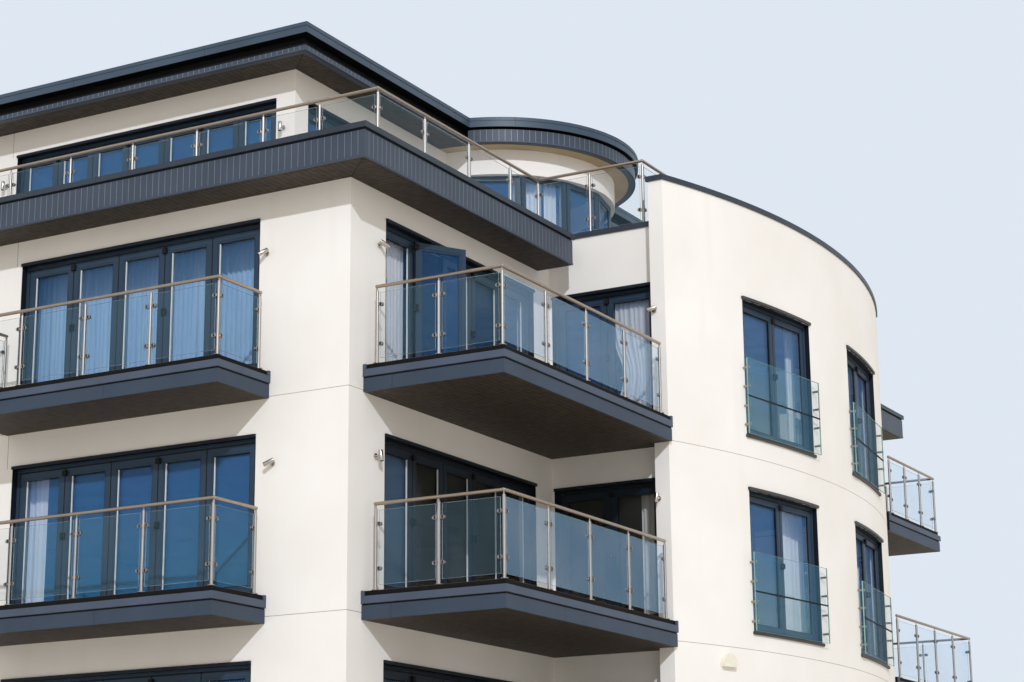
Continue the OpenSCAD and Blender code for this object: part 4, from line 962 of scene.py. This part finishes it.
def front_balcony(x, z):
    """The three layers round one front balcony, from the wall, along the street and back to the wall."""
    left, right, out, base = x, x + FRONT_W, -BALCONY_D, z - DECK_H
    block(fascia, (left + 0.02, out + 0.02, base), (right - 0.02, out + 0.045, base + FASCIA_TOP))
    block(fascia, (left + 0.02, out + 0.045, base), (left + 0.045, 0, base + FASCIA_TOP))
    block(fascia, (right - 0.045, out + 0.045, base), (right - 0.02, 0, base + FASCIA_TOP))
    block(gap, (left + 0.03, out + 0.03, base + GAP_FOOT), (right - 0.03, 0, base + DECK_FOOT))
    block(deck, (left + 0.04, out + 0.04, base + DECK_FOOT), (right - 0.04, 0, z))
    lapped((left, out), (right, out), (0, 1), base)
    lapped((left, 0), (left, out + 0.03), (1, 0), base)
    lapped((right, out + 0.03), (right, 0), (-1, 0), base)
    for edge in (left, right - 0.03):
        block(flashing, (edge, -0.05, base + FLASHING_TOP), (edge + 0.03, 0, z))


def corner_balcony(y_wall, y_free, z):
    """The same layers round a corner balcony, between its free end and the curved wall's end."""
    sign = 1 if y_wall > y_free else -1
    out, base = CORNER_OUT, z - DECK_H

    def layer(bm, across, along, heights):
        """A block of one layer, whichever way the balcony runs."""
        (x0, x1), (y0, y1), (low, high) = across, sorted(along), heights
        block(bm, (x0, y0, base + low), (x1, y1, base + high))

    def past_end(*distances):
        return [y_free + sign * distance for distance in distances]

    layer(fascia, (0, out - 0.02), past_end(0.02, 0.045), (0, FASCIA_TOP))
    layer(fascia, (out - 0.045, out - 0.02), past_end(0.045) + [y_wall], (0, FASCIA_TOP))
    layer(gap, (0, out - 0.03), past_end(0.03) + [y_wall], (GAP_FOOT, DECK_FOOT))
    layer(deck, (0, out - 0.04), past_end(0.04) + [y_wall], (DECK_FOOT, DECK_H))
    layer(deck, (0, DECK_IN_RECESS), (y_wall, y_wall + sign * RECESS_BACK), (GAP_FOOT, DECK_H))
    lapped((0, y_free), (out, y_free), (0, sign), base, 1.1)
    lapped((out, y_free + sign * 0.03), (out, y_wall), (-1, 0), base, 1.7)
    layer(flashing, (0, 0.05), past_end(0, 0.03), (FLASHING_TOP, DECK_H))
    layer(flashing, (out - 0.03, out), (y_wall, y_wall - sign * 0.05), (FLASHING_TOP, DECK_H))


def rear_free(z):
    """The free end of a rear corner balcony. The uppermost one is shorter."""
    return TOP_REAR_FREE if z == THIRD else REAR_FREE


for z in STOREYS[1:]:
    for x in FRONT_BALCONIES_X:
        front_balcony(x, z)
    corner_balcony(DRUM_START, CORNER_FREE, z)
    corner_balcony(DRUM_END, rear_free(z), z)
for bm in (fascia, flashing, deck, gap):
    bmesh.ops.translate(bm, verts=bm.verts, vec=CORNER)
soften(flashing, 0.003)
piece("balcony_decks", deck, deck_wood, ["front_balconies", "corner_balconies"])
piece("balcony_fascias", fascia, fascia_coat)
piece("balcony_flashings", flashing, flashing_coat)
# The black core in the gap is painted shade.
piece("balcony_gap_shade", gap, rubber_and_painted_shade)

# %% [markdown]
# The rails are stainless tube: a handrail, round posts, and D-shaped clamps that hold the glass clear of the
# posts. A post with its foot and its thin neck is shaped once, and so is a clamp, because there are hundreds
# of them. Each pane gets four slim strips round its cut edges: clear ones on the rails' thin panes, green
# ones on the thick window guards.

# %% Posts, clamps and edges of glass
RAIL_R, POST_R, PANE_T, CLAMP_GAP, PANE_FOOT = 0.024, 0.021, 0.010, 0.028, 0.07


def post_mesh(height):
    """A post with a foot plate, and the thin neck that carries the handrail."""
    bm = bmesh.new()
    rod(bm, (0, 0, 0), (0, 0, height - 0.085), POST_R, 16, 0.003, 1)
    rod(bm, (0, 0, height - 0.09), (0, 0, height - RAIL_R), 0.009, 8)
    rod(bm, (0, 0, 0), (0, 0, 0.012), 0.05, 16, 0.003, 1)
    return as_mesh(bm, "post")


def clamp_mesh():
    """A D-shaped clamp on the +x side of a post: a straight neck and a half-round end."""
    bm = bmesh.new()
    block(bm, (POST_R - 0.006, -0.008, -0.012), (POST_R + 0.02, 0.008, 0.012))
    block(bm, (POST_R + 0.016, -0.017, -0.026), (POST_R + 0.048, 0.017, 0.026))
    rod(bm, (POST_R + 0.048, -0.017, 0), (POST_R + 0.048, 0.017, 0), 0.026, 10)
    return as_mesh(bm, "clamp")


def edge_strips(bm, low, high, thick):
    """Four strips round a pane that lies in a local xz plane."""
    (x0, z0), (x1, z1), half, proud, over = low, high, thick / 2 + 0.0006, 0.0012, 0.002
    block(bm, (x0 - proud, -half, z0 - proud), (x0 + over, half, z1 + proud))
    block(bm, (x1 - over, -half, z0 - proud), (x1 + proud, half, z1 + proud))
    block(bm, (x0 + over, -half, z0 - proud), (x1 - over, half, z0 + over))
    block(bm, (x0 + over, -half, z1 - over), (x1 - over, half, z1 + proud))


CLAMP = clamp_mesh()
print(f"a clamp has {len(CLAMP.polygons)} faces")

# %% [markdown]
# A run of rail is one straight stretch between two corners. Where a handrail ends at a wall, a bent arm
# carries it back to its last post. Rails could be copied whole, but their lengths differ, so a run is built
# from its length and the places of its posts.

# %% One run of rail
rails, posts_bm, panes = {}, {}, {}
clamps, edges_bm = bmesh.new(), bmesh.new()


def post_places(length, pitch):
    """Equal spans that are no longer than the pitch."""
    spans = math.ceil(length / pitch)
    return [i * length / spans for i in range(spans + 1)]


def rail_run(name, place, length, places, height, low=0.0, posts=None, arm=None, glazing=None):
    """One straight run: handrail, posts, clamps and panes. arm is the end at a wall, and glazing names
    another piece for the panes."""
    rail, post_bm = rails.setdefault(name, bmesh.new()), posts_bm.setdefault(name, bmesh.new())
    glass = panes.setdefault(glazing or name, bmesh.new())
    tube, top = bmesh.new(), height - RAIL_R
    rod(tube, (-RAIL_R, 0, top), (length + RAIL_R, 0, top), RAIL_R, 20, 0.008)
    if arm is not None:
        elbow = arm + (-0.012 if arm == 0 else 0.012)
        rod(tube, (elbow, 0, top), (elbow, 0, top - 0.07), 0.011, 8)
        rod(tube, (elbow, 0, top - 0.065), (arm, 0, top - 0.13), 0.011, 8)
    set_down(rail, as_mesh(tube, "tube"), place)
    post = post_mesh(height - low)
    for x in places if posts is None else posts:
        set_down(post_bm, post, place @ moved(x, 0, low))
    foot, side = low + PANE_FOOT, POST_R + CLAMP_GAP
    pane_h = height - foot - 0.11
    for a, b in zip(places, places[1:]):
        for z in (foot + pane_h / 5 + 0.015, foot + pane_h * 4 / 5 + 0.015):
            set_down(clamps, CLAMP, place @ moved(a, 0, z))
            set_down(clamps, CLAMP, place @ moved(b, 0, z) @ turned(180))
        pane, strips = bmesh.new(), bmesh.new()
        block(pane, (a + side, -PANE_T / 2, foot), (b - side, PANE_T / 2, foot + pane_h))
        set_down(glass, as_mesh(pane, "pane"), place)
        edge_strips(strips, (a + side, foot), (b - side, foot + pane_h), PANE_T)
        set_down(edges_bm, as_mesh(strips, "strips"), place)


print(f"panes stand {CLAMP_GAP * 1000:.0f} mm clear of their posts")

# %% [markdown]
# Each front balcony has a run along the street and two short ones back to the wall. A corner balcony has a
# long run beside the street and a short one at its free end. The rear ones are the same, turned over by a
# mirror across the block's middle, which the recalculated normals put right again.

# %% Rails of the balconies
INSET, FIRST_POST, CURVED_WALL_GAP = 0.07, 0.18, 0.26
for z in STOREYS[1:]:
    height = 1.08 if z == THIRD else 1.15
    for x in FRONT_BALCONIES_X:
        length, side = FRONT_W - 2 * INSET, BALCONY_D - INSET - FIRST_POST
        street = at(x + INSET, INSET - BALCONY_D, z)
        rail_run("front_rails", street, length, post_places(length, 1.12), height)
        for along in (0, length):
            back = street @ moved(along, side) @ turned(-90)
            rail_run("front_rails", back, side - 2 * RAIL_R, [0, side], height, posts=[0], arm=0)
    for free, sign, wall in ((CORNER_FREE, 1, DRUM_START), (rear_free(z), -1, DRUM_END)):
        flip = at(0, free, z) @ Matrix.Diagonal((1, sign, 1, 1))
        length, reach = abs(wall - free) - CURVED_WALL_GAP - INSET, CORNER_OUT - INSET
        rail_run("corner_rails", flip @ moved(reach, INSET) @ turned(90), length, post_places(length, 1.18),
                 height, arm=length, glazing="corner_side")
        side = reach - FIRST_POST
        rail_run("corner_rails", flip @ moved(FIRST_POST, INSET), side - 2 * RAIL_R, [0, side / 2, side],
                 height, posts=[0, side / 2], arm=0)
print(len(clamps.verts) // len(CLAMP.vertices), "clamps on the balconies")

# %% [markdown]
# The terrace rail runs all the way round the roof, steps out over both recesses and follows the curved wall's
# coping. Its bays are equal but for short ones beside the corners and the recesses, so its posts are set out
# from both ends, and the middle is shared out.

# %% Rail of the terrace
TERRACE_H, POST_PITCH, BY_WALL, BY_CORNER = 1.21, 1.27, 0.90, 0.98
# How far the rail stands in from the side and from the street, and its foot on the copings.
FROM_SIDE, FROM_STREET, ON_COPING = 0.26, 1.05, 0.14


def terrace_places(length, starts, ends, bay):
    """Short bays at the start and the end of a length, and equal spans between them."""
    middle = [starts * bay + p for p in post_places(length - (starts + ends) * bay, POST_PITCH)]
    return [i * bay for i in range(starts)] + middle + [length - i * bay for i in range(ends - 1, -1, -1)]


right, left, front, rear = -FROM_SIDE, FROM_SIDE - WIDTH, FROM_STREET, DEPTH - FROM_STREET
near, far, out = RECESS + 0.15, REAR_RECESS - 0.15, 1.57
wide, deep = (terrace_places(length, 2, 2, BY_CORNER) for length in (right - left, rear - front))
step, along_drum = post_places(out - right, POST_PITCH), post_places(far - near, POST_PITCH)
before, after = terrace_places(near - front, 0, 1, BY_WALL), terrace_places(rear - far, 1, 0, BY_WALL)
for start, turn, places, low in (
        ((left, front), 0, wide, 0), ((right, front), 90, before, 0),
        ((right, near), 0, step, ON_COPING), ((out, near), 90, along_drum, ON_COPING),
        ((out, far), 180, step, ON_COPING), ((right, far), 90, after, 0),
        ((right, rear), 180, wide, 0), ((left, rear), -90, deep, 0)):
    rail_run("terrace_rails", at(*start, TERRACE, turn), places[-1] - 2 * RAIL_R, places, TERRACE_H, low=low,
             posts=places[:-1])
GLASS_NODE = {"front_rails": "front_rail_glass", "corner_rails": "corner_rail_glass",
              "terrace_rails": "terrace_glass"}
for name in rails:
    piece(name.replace("rails", "handrails"), rails[name], rail_steel, [name], smooth=True)
    piece(name.replace("rails", "rail_posts"), posts_bm[name], post_steel, smooth=True)
    piece(name.replace("rails", "rail_panes"), panes[name], rail_glass, [GLASS_NODE[name]])
piece("corner_side_panes", panes["corner_side"], side_glass)

# %% [markdown]
# The window guards on the curved wall are two thick panes, one over the other, with a dark seal between them.
# The CAD has the panes themselves, which are plain slabs. What it hasn't are their polished green edges and
# the seal, so these are added round them.

# %% Window guards
GUARD_W, GUARD_H, GUARD_GAP, GUARD_T, GUARD_OUT = 2.2, 0.585, 0.01, 0.018, 0.04
guard, seal, guard_edges, seal_bm = bmesh.new(), bmesh.new(), bmesh.new(), bmesh.new()
for low in (0, GUARD_H + GUARD_GAP):
    edge_strips(guard, (-GUARD_W / 2, low), (GUARD_W / 2, low + GUARD_H), GUARD_T)
bmesh.ops.translate(guard, verts=guard.verts, vec=(0, -GUARD_T / 2, 0))
seal_low, seal_high = GUARD_H - GUARD_GAP / 2, GUARD_H + GUARD_GAP * 3 / 2
block(seal, (-GUARD_W / 2, -GUARD_T - 0.001, seal_low), (GUARD_W / 2, 0.001, seal_high))
guard, seal = as_mesh(guard, "guard"), as_mesh(seal, "seal")
for z in STOREYS[1:]:
    for angle in DRUM_WINDOWS:
        place = on_drum(angle, DRUM_R + GUARD_OUT, z)
        set_down(guard_edges, guard, place)
        set_down(seal_bm, seal, place)
piece("guard_seals", seal_bm, rubber_and_painted_shade)
piece("rail_clamps", clamps, cast_steel)
piece("rail_glass_edges", edges_bm, clear_edge)
piece("guard_glass_edges", guard_edges, glass_edge)

# %% [markdown]
# The wall lights are stainless spotlights: a round plate, a knuckle and one barrel that can be aimed. They
# have been turned every way over the years, so a copy of one light at every place would look wrong, and each
# storey's lights have their own aim. The barrel's dark mouth is a short sunk disc.

# %% Wall spotlights
BARREL_R, BARREL_L, PLATE_IN = 0.031, 0.15, 0.0005
lights, mouths = bmesh.new(), bmesh.new()


def spotlight(place, aim):
    """One light; aim is the way its mouth points, along the wall, into it and up."""
    aim = Vector(aim).normalized()
    middle = Vector((0, -0.092, 0))
    body, mouth = bmesh.new(), bmesh.new()
    rod(body, (0, 0.0, 0), (0, -0.016, 0), 0.04, 20, 0.004, 2)
    rod(body, (0, -0.014, 0), (0, -0.062, 0), 0.014, 12)
    rod(body, middle - aim * BARREL_L / 2, middle + aim * BARREL_L / 2, BARREL_R, 20, 0.004, 2)
    set_down(lights, as_mesh(body, "body"), place)
    inner, outer = middle + aim * (BARREL_L / 2 - 0.004), middle + aim * (BARREL_L / 2 + 0.001)
    rod(mouth, inner, outer, BARREL_R - 0.005, 16)
    set_down(mouths, as_mesh(mouth, "mouth"), place)


# Aims of the front, side and curved wall's lights, from the ground storey up.
DOWN = (0, -0.1, -1)
AIMS = [(DOWN, DOWN, DOWN), ((-0.6, -0.3, -0.6), DOWN, (0.1, -0.1, -1)),
        ((-0.85, -0.35, -0.45), (0, -0.12, -1), (-0.1, -0.1, -1)),
        ((-0.6, -0.55, -0.5), (0.62, -0.5, -0.5), (-0.85, -0.4, -0.35))]
# Their places: along the front and up, along the side and up, along the curved wall's end and up.
PLACES = [(-1.3, 1.74, 0.70, 1.74, 1.92, 1.72), (-1.3, 1.74, 0.70, 1.74, 1.92, 1.72),
          (-1.19, 1.74, 0.64, 1.82, 1.90, 1.80), (-1.35, 1.65, 0.70, 1.74, 1.90, 1.65)]
for z, (front, side, end), (x, up, y, side_up, end_x, end_up) in zip(STOREYS, AIMS, PLACES):
    for mirrored in (x, -WIDTH - x):
        spotlight(at(mirrored, -PLATE_IN, z + up), front)
    spotlight(at(PLATE_IN, y, z + side_up, 90), side)
    spotlight(at(end_x, DRUM_START - PLATE_IN, z + end_up), end)
for x in (-3.08, -8.64):
    spotlight(at(x, FLAT_FRONT - PLATE_IN, TERRACE + 1.66), (0, -0.08, -1))
piece("wall_spotlights", lights, spot_steel, ["wall_lights"], smooth=True)
piece("spotlight_mouths", mouths, rubber_and_painted_shade)

# %% [markdown]
# A curtain hangs from a track in even folds. Cloth neither stretches nor shrinks, so every level line across
# it has the same length: where the curtain is drawn closer, its folds are deeper. A simulation could find
# this, but folds that hang straight need none. Each row is drawn as a wave whose depth is found by halving
# the interval until the line has the length of the cut cloth.

# %% Curtains
TRACK, HEM, FOLD = 0.02, 0.004, 0.085
tracks = bmesh.new()


def wave_row(width, depth, waves, offsets):
    """The plan points of one row: a wave across a width, its crests moved by small offsets."""
    points = []
    for j, offset in enumerate(offsets):
        share = j / (len(offsets) - 1)
        phase = 2 * math.pi * (waves * share + 0.35 * offset)
        points.append(Vector((width * share, depth * (math.sin(phase) + 0.22 * math.sin(2 * phase + 1.3)))))
    return points


def row_of_length(width, length, waves, offsets):
    """The row whose wave is just deep enough to take up a length of cloth."""
    low, high = 0.0, 0.3
    for _ in range(24):
        depth = (low + high) / 2
        row = wave_row(width, depth, waves, offsets)
        if sum((b - a).length for a, b in zip(row, row[1:])) < length:
            low = depth
        else:
            high = depth
    return row


def curtain(name, place, width, room, fullness, cloth, seed, tie=None, rows=14):
    """A curtain of a width when hung, in a room of a height, with its left end over the place on the floor.
    tie is the height at which it is drawn aside, as a share of the drop from the top, and how far."""
    chance = random.Random(seed)
    waves = max(2, round(width / FOLD))
    columns = waves * 8 + 1
    drift = [chance.uniform(-1, 1) for _ in range(waves + 2)]
    cut, drop, place = width * fullness, room - TRACK - HEM, place @ moved(0, 0, HEM)
    bm, grid = bmesh.new(), []
    for i in range(rows + 1):
        fall = i / rows
        pinch = 0.0 if tie is None else tie[1] * math.exp(-(((fall - tie[0]) / 0.2) ** 2))
        hung = width * (1 - pinch) * (1 - 0.015 * fall)
        offsets = []
        for j in range(columns):
            fold = j / (columns - 1) * waves
            first, second, part = drift[int(fold)], drift[min(int(fold) + 1, waves)], fold - int(fold)
            eased = first + (second - first) * part * part * (3 - 2 * part)
            offsets.append(eased * (0.35 + 0.65 * fall))
        row = row_of_length(hung, cut, waves, offsets)
        shift = (width - hung) * (0.5 if tie is None else 1.0)
        grid.append([bm.verts.new((p.x + shift, p.y, drop * (1 - fall))) for p in row])
    for upper, lower in zip(grid, grid[1:]):
        for a, b, c, d in zip(upper, upper[1:], lower[1:], lower):
            bm.faces.new((a, d, c, b)).smooth = True
    bmesh.ops.transform(bm, matrix=place, verts=bm.verts)
    track = bmesh.new()
    block(track, (-0.04, -0.014, drop), (width + 0.04, 0.014, drop + TRACK))
    set_down(tracks, as_mesh(track, "track"), place)
    made = piece(name, bm, cloth, closed=False)
    area = sum(p.area for p in made.data.polygons)
    print(f"{name}: cut {cut:.2f} by {drop:.2f} m, {area:.2f} m2 of cloth")
    return made, (round(cut, 3), round(drop, 3))


print(f"folds {FOLD * 1000:.0f} mm wide")

# %% [markdown]
# Ten curtains hang behind the panes that show them: a voile, painted blue for the sky's reflection in its
# pane, across a whole door, and white ones drawn to the side of the others. Each is cut wider than it hangs,
# by its fullness, and stops just clear of the floor. They could share one cloth, but each has its own seed,
# so no two fall alike.

# %% Every curtain
LOWER_ROOM, TOP_ROOM, FLAT_ROOM = STOREY - 0.25, 2.74, 2.605
IN_DRUM, IN_BAY = 13.15, 1.74
hung = [
    curtain("top_front_curtain", at(-6.02, 0.58, THIRD), 4.56, TOP_ROOM, 1.5, voile_painted_sky_blue, 3),
    curtain("middle_front_curtain", at(-6.06, 0.40, SECOND), 0.68, LOWER_ROOM, 1.7, white_cotton, 5),
    curtain("top_corner_curtain", at(-0.235, 1.10, THIRD, 90), 0.58, HEAD, 1.3, white_cotton, 7),
    curtain("top_recess_curtain", at(0.94, RECESS + 0.24, THIRD), 0.68, HEAD, 1.25, white_cotton, 9,
            tie=(0.6, 0.28)),
    curtain("middle_recess_curtain", at(1.30, RECESS + 0.40, SECOND), 0.24, LOWER_ROOM, 1.9,
            white_cotton, 11),
    curtain("top_drum_curtain", on_drum(-2.45, IN_DRUM, THIRD) @ moved(-0.14, 0), 0.28, TOP_ROOM, 1.8,
            white_cotton, 13),
    curtain("middle_drum_curtain", on_drum(-3.2, IN_DRUM, SECOND) @ moved(-0.38, 0), 0.76, LOWER_ROOM, 1.6,
            white_cotton, 15),
]
for side, angle, width, seed in (
        ("left", -44, 0.50, 17), ("middle", -29.5, 0.24, 19), ("right", -20.5, 0.18, 21)):
    place = at(BAY.x, BAY.y, TERRACE, angle) @ moved(IN_BAY, -width / 2) @ turned(90)
    hung.append(curtain(f"bay_curtain_{side}", place, width, FLAT_ROOM, 1.7, white_cotton, seed))
piece("curtain_tracks", tracks, spacer)

# %% [markdown]
# The floor is plain and pale, and catches the block's shadow. It could be a street with its own finish, but
# a plain one keeps the light even and leaves the eye to the block.

# %% Floor
bm = bmesh.new()
bmesh.ops.create_grid(bm, x_segments=1, y_segments=1, size=150)
ground = bpy.data.objects.new("ground", as_mesh(bm, "ground"))
floor_paint = finish("floor_paint", "#dcd5c9", 0.9)[0]
ground.data.materials.append(floor_paint)
ground.location.z = -0.002
scene.collection.objects.link(ground)
print("floor laid")
